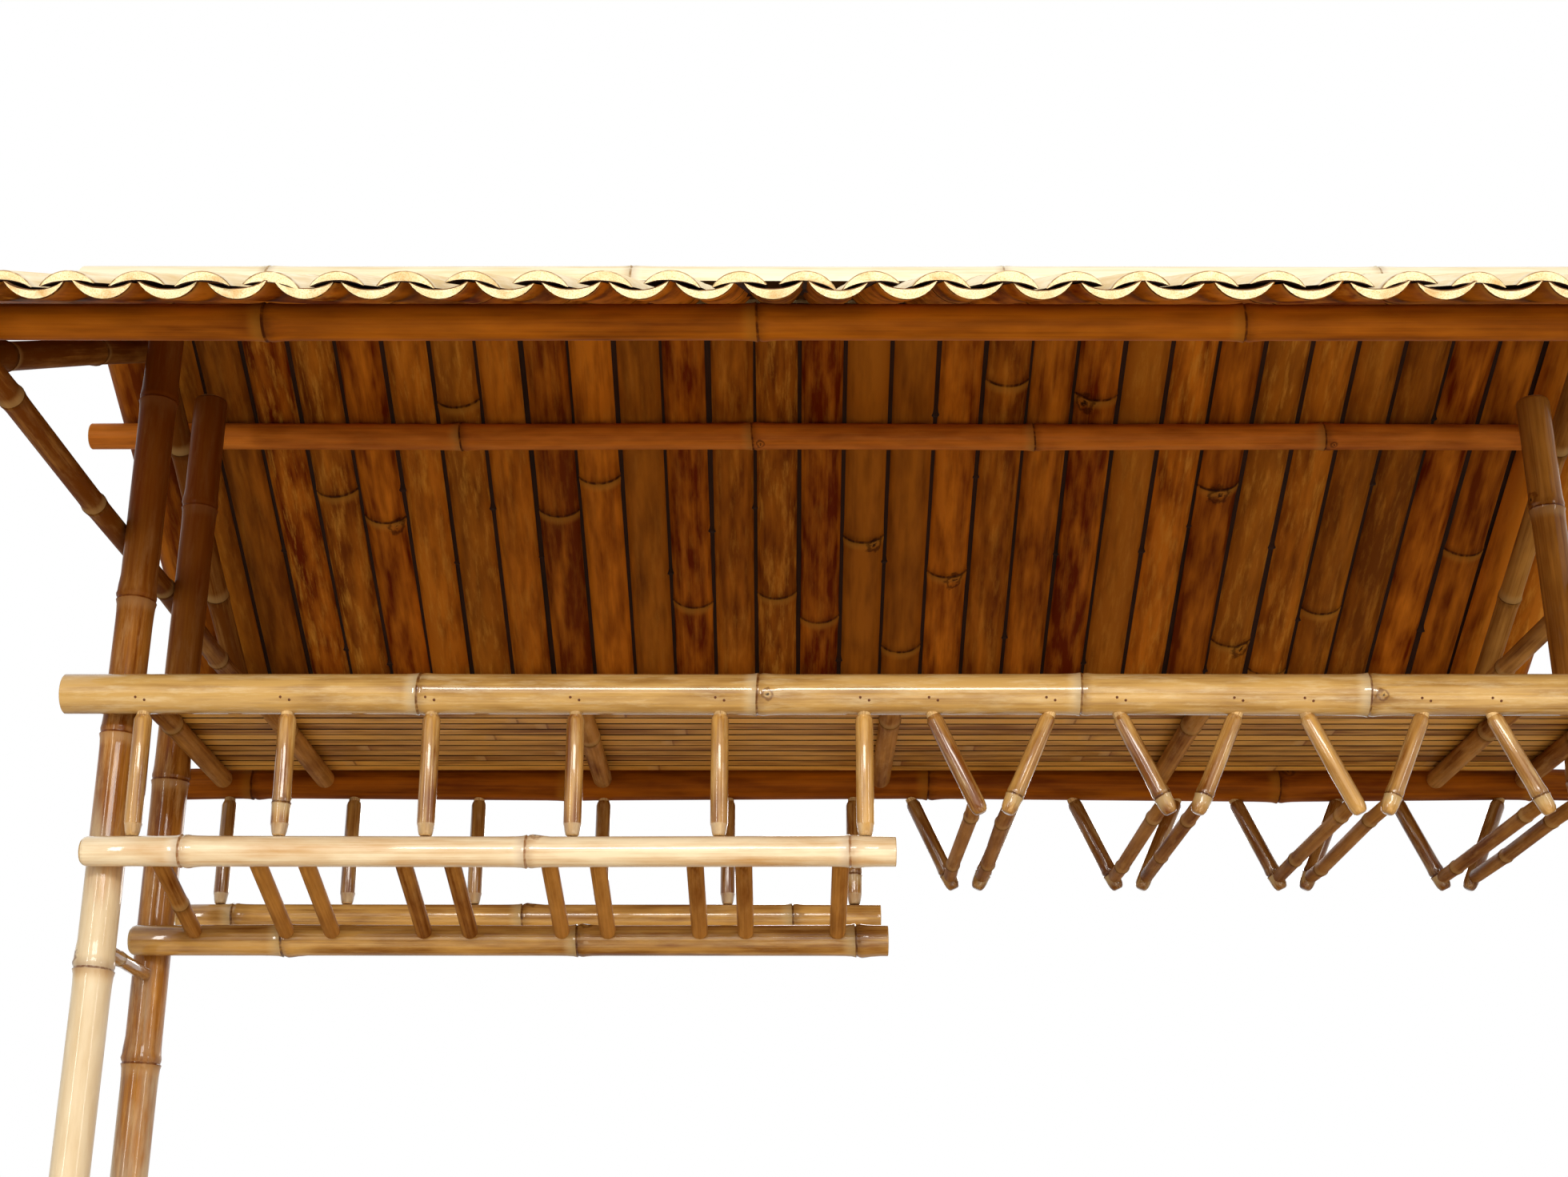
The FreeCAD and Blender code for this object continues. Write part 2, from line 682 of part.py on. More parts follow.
# Shelf inside the counter: strips laid across the two shelf rails.
derived("inner_strip_length", "leg_setback - post_diameter - seat - deck_gap")
shelf_count = int((field_length + deck_gap) / deck_pitch)
shelf_row = shelf_count * deck_pitch - deck_gap
outline = crowned("deck_width", "deck_thickness", "deck_crown")
inner = padded_row(
    "inner_shelf_strips",
    outline,
    "Sizes.inner_strip_length",
    "Sizes.deck_width + Sizes.deck_gap",
    shelf_count,
)
inner.Placement = Placement(
    Vector(-shelf_row / 2, leg_y - post_radius - seat, shelf_level + rail_diameter / 2 + seat),
    Rotation(ALONG_X, 90),
)
subpart(inner, "inner_shelf_strips")

# Every object must build cleanly before anything is written.
doc.recompute()
for item in doc.Objects:
    if "Invalid" in item.State or "Error" in item.State:
        raise RuntimeError("%s did not build: %s" % (item.Label, item.State))
for piece in subparts:
    if piece.Shape.isNull() or not piece.Shape.isValid():
        raise RuntimeError("%s has no valid shape" % piece.Label)
    piece.Shape.exportStep("parts/%s.step" % piece.Label)
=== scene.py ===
import math
import random

import bpy
import numpy as np
from mathutils import Matrix, Vector


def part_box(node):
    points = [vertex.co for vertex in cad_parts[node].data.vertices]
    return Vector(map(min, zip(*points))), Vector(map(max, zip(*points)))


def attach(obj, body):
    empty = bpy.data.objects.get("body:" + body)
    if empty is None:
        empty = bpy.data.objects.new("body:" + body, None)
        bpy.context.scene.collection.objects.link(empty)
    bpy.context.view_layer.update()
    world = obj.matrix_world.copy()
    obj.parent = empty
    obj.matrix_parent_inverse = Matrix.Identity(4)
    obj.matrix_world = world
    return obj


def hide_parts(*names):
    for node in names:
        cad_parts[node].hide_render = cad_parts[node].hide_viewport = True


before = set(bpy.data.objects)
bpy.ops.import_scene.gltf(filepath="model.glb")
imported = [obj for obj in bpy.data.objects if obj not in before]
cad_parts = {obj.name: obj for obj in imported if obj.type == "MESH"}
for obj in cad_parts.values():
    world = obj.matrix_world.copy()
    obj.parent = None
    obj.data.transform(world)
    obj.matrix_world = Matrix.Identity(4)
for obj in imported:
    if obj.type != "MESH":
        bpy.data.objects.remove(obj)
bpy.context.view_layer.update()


# Posts: two culms of smoked bamboo on each side, standing on their sawn ends. The front pair
# carries the front middle purlin on top, and the second pair ends in rounded tips. Smoking
# turned the upper part brown, and the part below the rack is still pale cream. Toward the top
# the brown deepens, partly soot and partly painted shade under the roof. The right second post
# is drawn lighter and without that darkening, as painted light from a window on its side.
def linear(hex_colour):
    """Turns an sRGB hex colour such as b87a3c into Blender's linear colour."""
    channels = [int(hex_colour[i:i + 2], 16) / 255 for i in (0, 2, 4)]
    return [c / 12.92 if c <= 0.04045 else ((c + 0.055) / 1.055) ** 2.4 for c in channels] + [1]


def new_material(name):
    """A new material, with its node tree and its shader."""
    material = bpy.data.materials.new(name)
    material.use_nodes = True
    return material, material.node_tree, material.node_tree.nodes["Principled BSDF"]


def set_sockets(tree, node, **sockets):
    """Sets a node's inputs, each given by name or number. A node stands for its output."""
    for name, value in sockets.items():
        socket = node.inputs[int(name[1:]) if name[0] == "_" else name.replace("_", " ")]
        if isinstance(value, bpy.types.Node):
            value = next(output for output in value.outputs if output.enabled)
        if isinstance(value, bpy.types.NodeSocket):
            tree.links.new(value, socket)
        else:
            socket.default_value = value


def add_node(tree, kind, settings=None, **sockets):
    """Adds a node, with its inputs given as in set_sockets."""
    node = tree.nodes.new("ShaderNode" + kind)
    for name, value in (settings or {}).items():
        setattr(node, name, value)
    set_sockets(tree, node, **sockets)
    return node


def mesh_value(tree, name, output="Vector"):
    """What a node reads from one of the mesh's attributes."""
    return add_node(tree, "Attribute", {"attribute_name": name}).outputs[output]


def fibre_noise(tree, grain, scale, **look):
    """Noise stretched along the fibres. scale is one over its size in metres, on each axis."""
    place = add_node(tree, "Mapping", Vector=grain, Scale=scale)
    return add_node(tree, "TexNoise", Vector=place, Scale=1.0, **look)


# Settings that many nodes share.
COLOURS = {"data_type": "RGBA"}
SMOOTH = {"interpolation_type": "SMOOTHSTEP"}
MULTIPLY = {"operation": "MULTIPLY"}
MULTIPLY_ADD = {"operation": "MULTIPLY_ADD"}
SUBTRACT = {"operation": "SUBTRACT"}
ABSOLUTE = {"operation": "ABSOLUTE"}


def bamboo_skin(name, light, dark, cast, scar, wax, mottle, rough, shine, lacquer=0.0, streak=0.8,
                crease=0.0016):
    """Outer skin of a culm. Its colour runs from light to dark, with some culms of another cast.

    The eye gets fibre streaks, cloudy mottles, a dark sheath scar as wide as crease with a pale
    waxy band at every joint, round bud scars, and the gloss of a thin lacquer if there is one.
    """
    material, tree, surface = new_material(name)
    grain = mesh_value(tree, "grain")
    tone = add_node(tree, "SeparateXYZ", _0=mesh_value(tree, "tone"))
    joint = mesh_value(tree, "from_joint", "Fac")
    bud = mesh_value(tree, "bud")
    bare = mesh_value(tree, "bare", "Fac")

    depth = tone.outputs["X"]
    layers = []
    # Width and length in metres, detail and strength: fibres, drawn twice as wide as real ones
    # so that they show, then mottles, long streaks, and slow drifts of colour.
    for across, along, detail, strength in (
        (0.0016, 0.110, 2.0, 0.9 * streak),
        (0.0130, 0.065, 5.0, mottle),
        (0.0050, 0.240, 2.0, 1.4 * streak),
        (0.0400, 0.260, 2.0, 1.3),
    ):
        layer = fibre_noise(tree, grain, (1 / across, 1 / across, 1 / along), Detail=detail)
        depth = add_node(tree, "Math", MULTIPLY_ADD, _0=layer, _1=strength, _2=depth)
        depth = add_node(tree, "Math", SUBTRACT, _0=depth, _1=strength / 2)
        layers.append(layer)
    fibres, mottles, streaks, _ = layers
    skin = add_node(tree, "Mix", COLOURS, _0=depth, _6=linear(light), _7=linear(dark))
    skin = add_node(tree, "Mix", COLOURS, _0=tone.outputs["Y"], _6=skin, _7=linear(cast))

    # Scuffs: pale scrapes 8 mm wide and 50 mm long, where the skin has been rubbed thin.
    scrape = fibre_noise(tree, grain, (130, 130, 20), Detail=7.0, Roughness=0.7)
    scrape = add_node(tree, "MapRange", Value=scrape, From_Min=0.5, From_Max=0.72)
    scrape = add_node(tree, "Math", MULTIPLY, _0=scrape, _1=tone.outputs["Z"])
    skin = add_node(tree, "Mix", COLOURS, _0=scrape, _6=skin, _7=linear(wax))

    # Peeled or whittled places, where bare is above zero, show raw straw-coloured wood with a
    # ragged edge.
    ragged = add_node(tree, "Math", MULTIPLY_ADD, _0=mottles, _1=0.8, _2=bare)
    ragged = add_node(tree, "MapRange", SMOOTH, Value=ragged, From_Min=0.62, From_Max=1.1)
    raw = add_node(tree, "Mix", COLOURS, _0=mottles, _6=linear("faeed2"), _7=linear("c8a672"))
    skin = add_node(tree, "Mix", COLOURS, _0=ragged, _6=skin, _7=raw)

    # At a joint: a pale waxy band below, a brown halo, and the dark line of the sheath scar.
    below = add_node(tree, "Math", {"operation": "LESS_THAN"}, _0=joint, _1=-0.0012)
    waxy = add_node(tree, "MapRange", SMOOTH, Value=joint, From_Min=-0.016, From_Max=-0.002)
    waxy = add_node(tree, "Math", MULTIPLY, _0=waxy, _1=below)
    waxy = add_node(tree, "Math", MULTIPLY, _0=waxy, _1=mottles)
    skin = add_node(tree, "Mix", COLOURS, _0=waxy, _6=skin, _7=linear(wax))
    distance = add_node(tree, "Math", ABSOLUTE, _0=joint)
    halo = add_node(
        tree, "MapRange", SMOOTH, Value=distance, From_Min=0.012, From_Max=0.0, To_Max=0.7
    )
    halo = add_node(tree, "Math", MULTIPLY, _0=halo, _1=mottles)
    skin = add_node(tree, "Mix", COLOURS, _0=halo, _6=skin, _7=linear(scar))
    broken = add_node(
        tree, "MapRange", Value=streaks, From_Min=0.3, From_Max=0.6, To_Min=0.15, To_Max=0.85
    )
    line = add_node(
        tree, "MapRange", SMOOTH, Value=distance, From_Min=crease, From_Max=crease / 3
    )
    line = add_node(tree, "Math", MULTIPLY, _0=line, _1=broken)
    skin = add_node(tree, "Mix", COLOURS, _0=line, _6=skin, _7=linear(scar))
    # Soot has settled on the skin where bare is below zero, deepening upward as painted shade for
    # the shade under the roof.
    soot_and_shade = add_node(tree, "MapRange", Value=bare, From_Min=0.0, From_Max=-1.0, To_Max=0.85)
    skin = add_node(tree, "Mix", COLOURS, _0=soot_and_shade, _6=skin, _7=linear(scar))

    # A bud scar: a dark rim at one radius from its middle, and a dark pit in the middle, both
    # bent out of round by the grain that swirls past them.
    bend = 0.8
    swirl = add_node(tree, "TexNoise", Vector=grain, Scale=170.0, Detail=2.0).outputs["Color"]
    bent = add_node(
        tree, "VectorMath", MULTIPLY_ADD, _0=swirl, _1=(2 * bend, 2 * bend, 0), _2=bud
    )
    bent = add_node(tree, "VectorMath", SUBTRACT, _0=bent, _1=(bend, bend, 0))
    radius = add_node(tree, "VectorMath", {"operation": "LENGTH"}, _0=bent)
    rim = add_node(tree, "Math", SUBTRACT, _0=radius, _1=1.0)
    rim = add_node(tree, "Math", ABSOLUTE, _0=rim)
    rim = add_node(tree, "MapRange", SMOOTH, Value=rim, From_Min=0.5, From_Max=0.05, To_Max=0.65)
    skin = add_node(tree, "Mix", COLOURS, _0=rim, _6=skin, _7=linear(scar))
    pit = add_node(tree, "MapRange", SMOOTH, Value=radius, From_Min=0.45, From_Max=0.1, To_Max=0.9)
    skin = add_node(tree, "Mix", COLOURS, _0=pit, _6=skin, _7=linear("1c0e06"))

    uneven = add_node(tree, "MapRange", Value=mottles, To_Min=rough - 0.1, To_Max=rough + 0.12)
    height = add_node(tree, "Math", {"operation": "ADD"}, _0=fibres, _1=streaks)
    bump = add_node(tree, "Bump", Strength=0.3, Distance=0.0005, Height=height)
    set_sockets(
        tree, surface, Base_Color=skin, Roughness=uneven, Normal=bump, IOR=1.5,
        Specular_IOR_Level=shine, Coat_Weight=lacquer, Coat_Roughness=0.06,
    )
    return material


def sawn_bamboo(name, pale, pore, stain):
    """Sawn or split bamboo: dull wood in clouds of two shades, with fibre ends as dark specks."""
    material, tree, surface = new_material(name)
    grain = mesh_value(tree, "grain")
    tone = add_node(tree, "SeparateXYZ", _0=mesh_value(tree, "tone"))
    # Fibre bundles are 0.6 mm across and are drawn at 1 mm so that they show.
    bundles = fibre_noise(tree, grain, (1000, 1000, 40), Detail=2.0)
    specks = add_node(tree, "MapRange", Value=bundles, From_Min=0.45, From_Max=0.7, To_Max=0.8)
    wood = add_node(tree, "Mix", COLOURS, _0=specks, _6=linear(pale), _7=linear(pore))
    # Stains are about 14 mm wide and 40 mm long.
    cloud = fibre_noise(tree, grain, (70, 70, 25), Detail=3.0)
    cloud = add_node(tree, "MapRange", Value=cloud, From_Min=0.42, From_Max=0.72)
    cloud = add_node(tree, "Math", MULTIPLY, _0=cloud, _1=tone.outputs["X"])
    wood = add_node(tree, "Mix", COLOURS, _0=cloud, _6=wood, _7=linear(stain))
    bump = add_node(tree, "Bump", Strength=0.5, Distance=0.0006, Height=bundles)
    set_sockets(
        tree, surface, Base_Color=wood, Normal=bump, Roughness=0.75, Specular_IOR_Level=0.25
    )
    return material


# A joint reaches 27 mm along the skin. Past that the materials read FAR, and where no bud scar
# is near they read NO_BUD.
JOINT_REACH = 0.027
FAR = 0.5
NO_BUD = 9.0


def new_part(look):
    """An empty part. look is its tone, hue and scuff, each from 0 to 1."""
    part = {key: [] for key in ("rings", "grain", "bud", "tone", "from_joint", "bare", "cut")}
    part["look"] = look
    return part


def add_ring(part, points, grain, near=FAR, bud=NO_BUD, bare=0.0, cut=0):
    """Adds a ring of points to a part. A value that is the same all round it is one number.

    cut is the number of the material: 0 for skin, 1 for cut wood, 2 for another one.
    """
    count = len(points)
    part["rings"].append(points)
    part["grain"].append(np.full((count, 3), grain))
    part["bud"].append(np.full((count, 3), bud))
    part["tone"].append(np.full((count, 3), part["look"]))
    part["from_joint"].append(np.full(count, near))
    part["bare"].append(np.full(count, bare))
    part["cut"].append(cut)


def ring_places(first, last, joints, offsets, step=0.05):
    """Places of the rings along a piece: an even row, with more of them round each joint.

    A close pair half-way between two joints is where the distance to the nearest one switches.
    """
    count = max(2, int((last - first) / step))
    places = {first + (last - first) * row / count for row in range(count + 1)}
    for joint in joints:
        places.update(joint + offset for offset in offsets if first < joint + offset < last)
    for joint, following in zip(joints, joints[1:]):
        middle = (joint + following) / 2
        places.update((middle - 0.0001, middle + 0.0001))
    return sorted(places)


def nearest_joint(place, joints):
    """The number of the nearest joint, and how far past it a place is, FAR when out of reach."""
    if not joints:
        return 0, FAR
    step = min(range(len(joints)), key=lambda index: abs(place - joints[index]))
    near = place - joints[step]
    return step, near if abs(near) < JOINT_REACH else math.copysign(FAR, near)


# How far the skin stands out round a joint of a 35 mm culm: place along the culm in metres, then
# height as a share of the swelling. The groove of the sheath scar lies between two ridges.
JOINT_SHAPE = (
    (-0.024, 0.0), (-0.012, 0.14), (-0.005, 0.42), (-0.0016, 0.95), (-0.0006, 1.15),
    (0.0004, 0.35), (0.0014, 0.3), (0.0032, 0.72), (0.0055, 0.85), (0.009, 0.45),
    (0.015, 0.14), (0.026, 0.0),
)
# Outlines of the tips: place from the end, share of the radius, and 1 where the wood is cut.
TIP_SHAPES = {
    "open": ((0.024, 0.02, 1), (0.024, 0.56, 1), (0.005, 0.6, 1), (0.0006, 0.62, 1),
             (0.0, 0.66, 1), (0.0, 0.95, 1)),
    "tenon": ((-0.003, 0.02, 1), (-0.003, 0.7, 1), (0.0012, 0.74, 0), (0.0032, 0.9, 0)),
    "whittled": ((0.0, 0.02, 1), (0.0, 0.6, 1), (0.0008, 0.72, 0), (0.004, 0.83, 0),
                 (0.0085, 0.91, 0), (0.0105, 0.985, 0)),
    "round": ((0.0, 0.02, 1), (0.0, 0.58, 1), (0.0009, 0.78, 1), (0.0028, 0.93, 0)),
    "knob": ((0.0, 0.02, 0), (0.0, 0.56, 0), (0.0012, 0.76, 0), (0.0045, 0.93, 0)),
}
SKIN_STARTS = {"open": 0.0008, "tenon": 0.006, "whittled": 0.0125, "round": 0.0058, "knob": 0.009}


def culm(start, end, width, joints, seed, tips=("open", "open"), tone=0.4, hue=0.2, scuff=0.0,
         pale=None, width_end=None, kink=0.0006, swell=1.0, buds=None, sides=26):
    """One culm as rings of points from start to end. Every length is in metres.

    joints are distances from the start. buds is the direction that the first bud scar faces.
    pale gives the two places between which the skin turns to raw wood, and soot thickens above
    the first of them, deepening as painted shade toward the top. Only the first tip can be
    whittled.
    """
    shape_width = 0.035
    swelling = 0.0011
    bud_radius = 0.0052
    bud_rise = 0.0095
    # Painted shade: over this run above pale, soot darkens the skin for the shade under the roof.
    soot_and_shade_run = 0.25
    whittled_run = 0.0118

    start, end = Vector(start), Vector(end)
    axis = (end - start).normalized()
    length = (end - start).length
    across = axis.cross(Vector((0, 0, 1) if abs(axis.z) < 0.9 else (0, -1, 0))).normalized()
    upward = across.cross(axis).normalized()
    width_end = width_end or width
    draw = random.Random(seed)
    size = width / shape_width
    stretch = min(1.0, 0.4 + 0.6 * size)
    ridge = swell * swelling * size ** 0.75
    offsets = [offset * stretch for offset, _ in JOINT_SHAPE]
    heights = [height for _, height in JOINT_SHAPE]

    skin_from, skin_to = SKIN_STARTS[tips[0]], length - SKIN_STARTS[tips[1]]
    rows = list(TIP_SHAPES[tips[0]])
    rows += [(place, 1.0, 0) for place in ring_places(skin_from, skin_to, joints, offsets)]
    rows += [(length - place, share, cut) for place, share, cut in reversed(TIP_SHAPES[tips[1]])]

    # A grown culm bends a hair at each joint and changes its thickness there.
    knots = [0.0, *joints, length]
    bends = [kink * draw.uniform(0.3, 1.0) * (-1) ** step for step in range(len(joints))]
    bends = [0.0, *bends, 0.0]
    thick = [draw.uniform(0.975, 1.0) for _ in knots]
    bend_turn = draw.uniform(0, math.pi)
    bend_way = across * math.cos(bend_turn) + upward * math.sin(bend_turn)
    facing = Vector(buds or (0, 0, 1))
    first_turn = math.atan2(facing.dot(upward), facing.dot(across))
    turn = first_turn + np.linspace(0, 2 * math.pi, sides, endpoint=False)
    oval = draw.uniform(0.004, 0.014)
    oval_turn = draw.uniform(0, math.pi)
    lean = draw.uniform(0.0004, 0.0016) * size
    lean_turn = draw.uniform(0, 2 * math.pi)
    shift = np.array([draw.uniform(-9, 9) for _ in range(3)])
    bud_sizes = [bud_radius * size ** 0.5 * draw.uniform(0.7, 1.15) for _ in knots]

    part = new_part((tone, hue, scuff))
    for place, share, cut in rows:
        step, near = nearest_joint(place, joints)
        radius = (width + (width_end - width) * place / length) / 2 * share
        radius *= np.interp(place, knots, thick)
        outline = radius * (1 + oval * (np.cos(2 * (turn - oval_turn)) - 1))
        bud = np.full((sides, 3), NO_BUD)
        slant = np.full(sides, place)
        if share == 1.0 and joints:
            outline += ridge * np.interp(near, offsets, heights)
            slant += lean * np.cos(turn - lean_turn) * math.exp(-(near / 0.02) ** 2)
        if share == 1.0 and joints and buds:
            # The buds of one joint after the other face opposite ways.
            around = (turn - first_turn - math.pi * (step % 2) + math.pi) % (2 * math.pi) - math.pi
            bud[:, 0] = np.abs(around) * radius / bud_sizes[step]
            bud[:, 1] = (near - bud_rise * stretch) / bud_sizes[step]
            bud[:, 2] = 0.0
            spread = (bud ** 2).sum(axis=1)
            outline += ridge * 1.3 * (np.exp(-0.7 * spread) - 0.6 * np.exp(-4 * spread))
        grain = np.stack([np.cos(turn) * outline, np.sin(turn) * outline, slant], axis=1)
        centre = start + bend_way * float(np.interp(place, knots, bends))
        points = np.array(centre) + grain @ np.array([across, upward, axis])
        bare = 0.0
        if pale:
            bare = min(1.0, (place - pale[0]) / (pale[1] - pale[0]))
            if bare < 0:
                bare = max(-1.0, (pale[0] - place) / soot_and_shade_run)
        if tips[0] == "whittled" and place < whittled_run:
            bare = 0.4
        add_ring(part, points, grain + shift, near, bud, bare, cut)
    return part


def make_piece(node, parts, materials):
    """Joins parts into one mesh with its attributes, and puts it in place of its CAD node.

    A part's side_cut and end_cut, where it has them, are the materials of its sides and ends.
    """
    def joined(key):
        return np.concatenate([row for part in parts for row in part[key]])

    faces, cuts = [], []
    first = 0
    for part in parts:
        rings = part["rings"]
        count = len(rings[0])
        for row in range(len(rings) - 1):
            base = first + row * count
            cut = max(part["cut"][row], part["cut"][row + 1])
            for side in range(count):
                other = (side + 1) % count
                faces.append((base + side, base + other, base + count + other, base + count + side))
                cuts.append(part.get("side_cut", {}).get(side, cut))
        last = first + (len(rings) - 1) * count
        faces.append(tuple(reversed(range(first, first + count))))
        faces.append(tuple(range(last, last + count)))
        cuts += [part.get("end_cut", max(1, part["cut"][0]))] * 2
        first = last + count
    mesh = bpy.data.meshes.new(node)
    mesh.from_pydata(joined("rings").tolist(), [], faces)
    mesh.polygons.foreach_set("material_index", cuts)
    mesh.polygons.foreach_set("use_smooth", [True] * len(faces))
    for label, kind, field in (
        ("grain", "FLOAT_VECTOR", "vector"),
        ("bud", "FLOAT_VECTOR", "vector"),
        ("tone", "FLOAT_VECTOR", "vector"),
        ("from_joint", "FLOAT", "value"),
        ("bare", "FLOAT", "value"),
    ):
        attribute = mesh.attributes.new(label, kind, "POINT")
        attribute.data.foreach_set(field, joined(label).astype(np.float32).ravel())
    for material in materials:
        mesh.materials.append(material)
    mesh.validate()
    mesh.set_sharp_from_angle(angle=math.radians(40))
    piece = bpy.data.objects.new(node, mesh)
    bpy.context.scene.collection.objects.link(piece)
    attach(piece, "root")
    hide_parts(node)


def whole_culm(node, slot, skin, width, joints, seed, **look):
    """A piece that is one culm, along the middle of its node's box from end to end."""
    low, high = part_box(node)
    start, end = (low + high) / 2, (low + high) / 2
    run = max(range(3), key=lambda axis: high[axis] - low[axis])
    start[run], end[run] = low[run], high[run]
    make_piece(node, [culm(start, end, width, joints, seed, **look)], [skin, end_grain])


smoked_lacquer = 0.4
smoked_skin = bamboo_skin(
    "bamboo_culm_smoked_lacquered", light="c88838", dark="703606", cast="62380c", scar="642c04",
    wax="dcb074", mottle=1.6, rough=0.3, shine=0.03, lacquer=smoked_lacquer,
)
# Where soot and painted shade lie on it, the lacquer is dull.
tree = smoked_skin.node_tree
bare = mesh_value(tree, "bare", "Fac")
gloss = add_node(tree, "MapRange", Value=bare, From_Min=-0.5, From_Max=0.1, To_Max=smoked_lacquer)
set_sockets(tree, tree.nodes["Principled BSDF"], Coat_Weight=gloss)
# Sawn ends are dull and straw-coloured.
end_grain = sawn_bamboo("bamboo_end_grain_sawn", pale="e2bf86", pore="9a6c36", stain="5c3a1c")
post_width = 0.035
front_joints = [0.17, 0.46, 0.76, 1.06, 1.37, 1.64, 1.858, 1.991, 2.2]
second_joints = [0.12, 0.4, 0.69, 0.99, 1.29, 1.58, 1.86, 2.157]
for node, joints, seed, tip, tone, scuff, pale in (
    ("post_front_left", front_joints, 15, "open", 0.55, 0.5, (1.84, 1.6)),
    ("post_front_right", front_joints, 16, "open", 0.55, 0.5, (1.84, 1.6)),
    ("post_second_left", second_joints, 16, "round", 0.5, 0.5, (1.82, 1.1)),
    # Painted light: the right second post is lighter, with no darkening at the top, for the window
    # light on its side.
    ("post_second_right", second_joints, 17, "round", 0.3, 0.1, (2.2, 1.0)),
):
    whole_culm(
        node, "culm_brown", smoked_skin, post_width, joints, seed, tips=("open", tip), tone=tone,
        hue=0.15, scuff=scuff, pale=pale, swell=1.3, buds=(0.9, 0.3, 0), kink=0.0005,
    )

# Pegs between the two posts of a pair: short tan canes let into both posts, four on each side.
# Their lacquer is shiny and draws white glints over dark streaks.
cane_skin = bamboo_skin(
    "bamboo_cane_tan_lacquered", light="d8a85c", dark="784412", cast="6c4016", scar="4a260c",
    wax="f0d69c", mottle=2.0, rough=0.24, shine=0.15, lacquer=0.8,
)
peg_width = 0.014
peg_pitch = 0.45
for side in ("left", "right"):
    node = "post_pegs_" + side
    low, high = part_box(node)
    middle_x = (low.x + high.x) / 2
    parts = []
    for step in range(4):
        level = high.z - peg_width / 2 - peg_pitch * step
        parts.append(culm(
            (middle_x, low.y, level), (middle_x, high.y, level), peg_width, [0.05 + 0.02 * step],
            40 + step, ("tenon", "tenon"), tone=0.5, sides=16,
        ))
    make_piece(node, parts, [cane_skin, end_grain])

# Rafters: culms in pairs, mitred at the ridge and sawn off square under the eaves. They are
# sanded matt and left without lacquer, so the eye gets brown mottles and no glints.
matt_skin = bamboo_skin(
    "bamboo_culm_brown_matt", light="cc9246", dark="703a08", cast="663a0c", scar="44260c",
    wax="d8b070", mottle=1.7, rough=0.55, shine=0.03,
)
slope = math.radians(27.5)
apex_level = 2.327
rafter_run = 0.530
rafter_length = rafter_run / math.cos(slope)
for face, way, joints in (("front", -1, [0.2, 0.44]), ("back", 1, [0.13, 0.35, 0.52])):
    # Painted light: the right rafters are drawn lighter than the left ones, for the window light on
    # that side.
    for side, tone in (("left", 1.0), ("right", 0.4)):
        node = "rafter_%s_%s" % (face, side)
        low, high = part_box(node)
        # The pair meets at the ridge, and each starts a little on its own side of it.
        start = Vector(((low.x + high.x) / 2, way * 0.004, apex_level - 0.002))
        fall = Vector((0, way * math.cos(slope), -math.sin(slope)))
        part = culm(
            start, start + fall * rafter_length, 0.026, joints, 60 + way, tone=tone, hue=0.3,
            scuff=0.1, swell=1.3, kink=0.0012,
        )
        make_piece(node, [part], [matt_skin, end_grain])

# Tie poles, purlins and ridge pole: whole culms that join the rafter feet across the hut and
# run its whole length under the tiles, sawn square so that their hollow ends show. The tie
# poles are matt like the rafters, and heat has toasted the long ones to a warm dry brown.
toasted_skin = bamboo_skin(
    "bamboo_culm_toasted_dry", light="e2842a", dark="8c3e08", cast="6a3a10", scar="3a1a06",
    wax="e0a04c", mottle=1.5, rough=0.45, shine=0.08, streak=0.5,
)
for node, skin, width, joints, seed, tone, buds in (
    # Painted light: the right tie pole is drawn lighter than the left one, for the window light on
    # that side.
    ("tie_pole_left", matt_skin, 0.022, [0.1, 0.33, 0.56, 0.79, 1.0], 14, 1.0, None),
    ("tie_pole_right", matt_skin, 0.022, [0.13, 0.36, 0.6, 0.82], 15, 0.4, None),
    ("purlin_front", toasted_skin, 0.030, [0.24, 0.53, 0.85, 1.14, 1.45], 12, 0.5, None),
    ("ridge_pole", toasted_skin, 0.030, [0.12, 0.45, 0.77, 1.07, 1.4, 1.68], 10, 0.5, None),
    ("purlin_back", toasted_skin, 0.030, [0.09, 0.416, 0.743, 1.059, 1.385, 1.68], 11, 0.3,
     (0, -0.5, -0.85)),
):
    whole_culm(
        node, "culm_brown", skin, width, joints, seed, tone=tone, hue=0.15, scuff=0.15, swell=1.4,
        kink=0.0014, buds=buds,
    )

# Eave beams and the back beam of the rack: amber culms, drawn darker and more orange than the
# front rack beam as painted shade, for the shade under the roof and behind the rack. They are
# only rubbed with oil, which gives them a dull even brown.
amber_shaded_skin = bamboo_skin(
    "bamboo_culm_amber_oiled_painted_shade", light="bc6a10", dark="6c3002", cast="5c3410", scar="401c06",
    wax="c08028", mottle=1.4, rough=0.5, shine=0.05, streak=0.6,
)
for node, width, joints, seed, tone, buds in (
    ("eave_beam_front", 0.030, [0.02, 0.361, 0.757, 1.149, 1.52], 76, 0.3, None),
    ("eave_beam_back", 0.030, [0.2, 0.58, 0.97, 1.34, 1.69], 77, 0.4, (0, 0.7, -0.7)),
    ("rack_beam_back", 0.034, [0.086, 0.42, 0.8, 1.171, 1.44], 78, 0.65, (0, 0.7, -0.7)),
):
    whole_culm(
        node, "culm_honey", amber_shaded_skin, width, joints, seed, tone=tone, scuff=0.1, swell=1.4,
        kink=0.0018, buds=buds,
    )

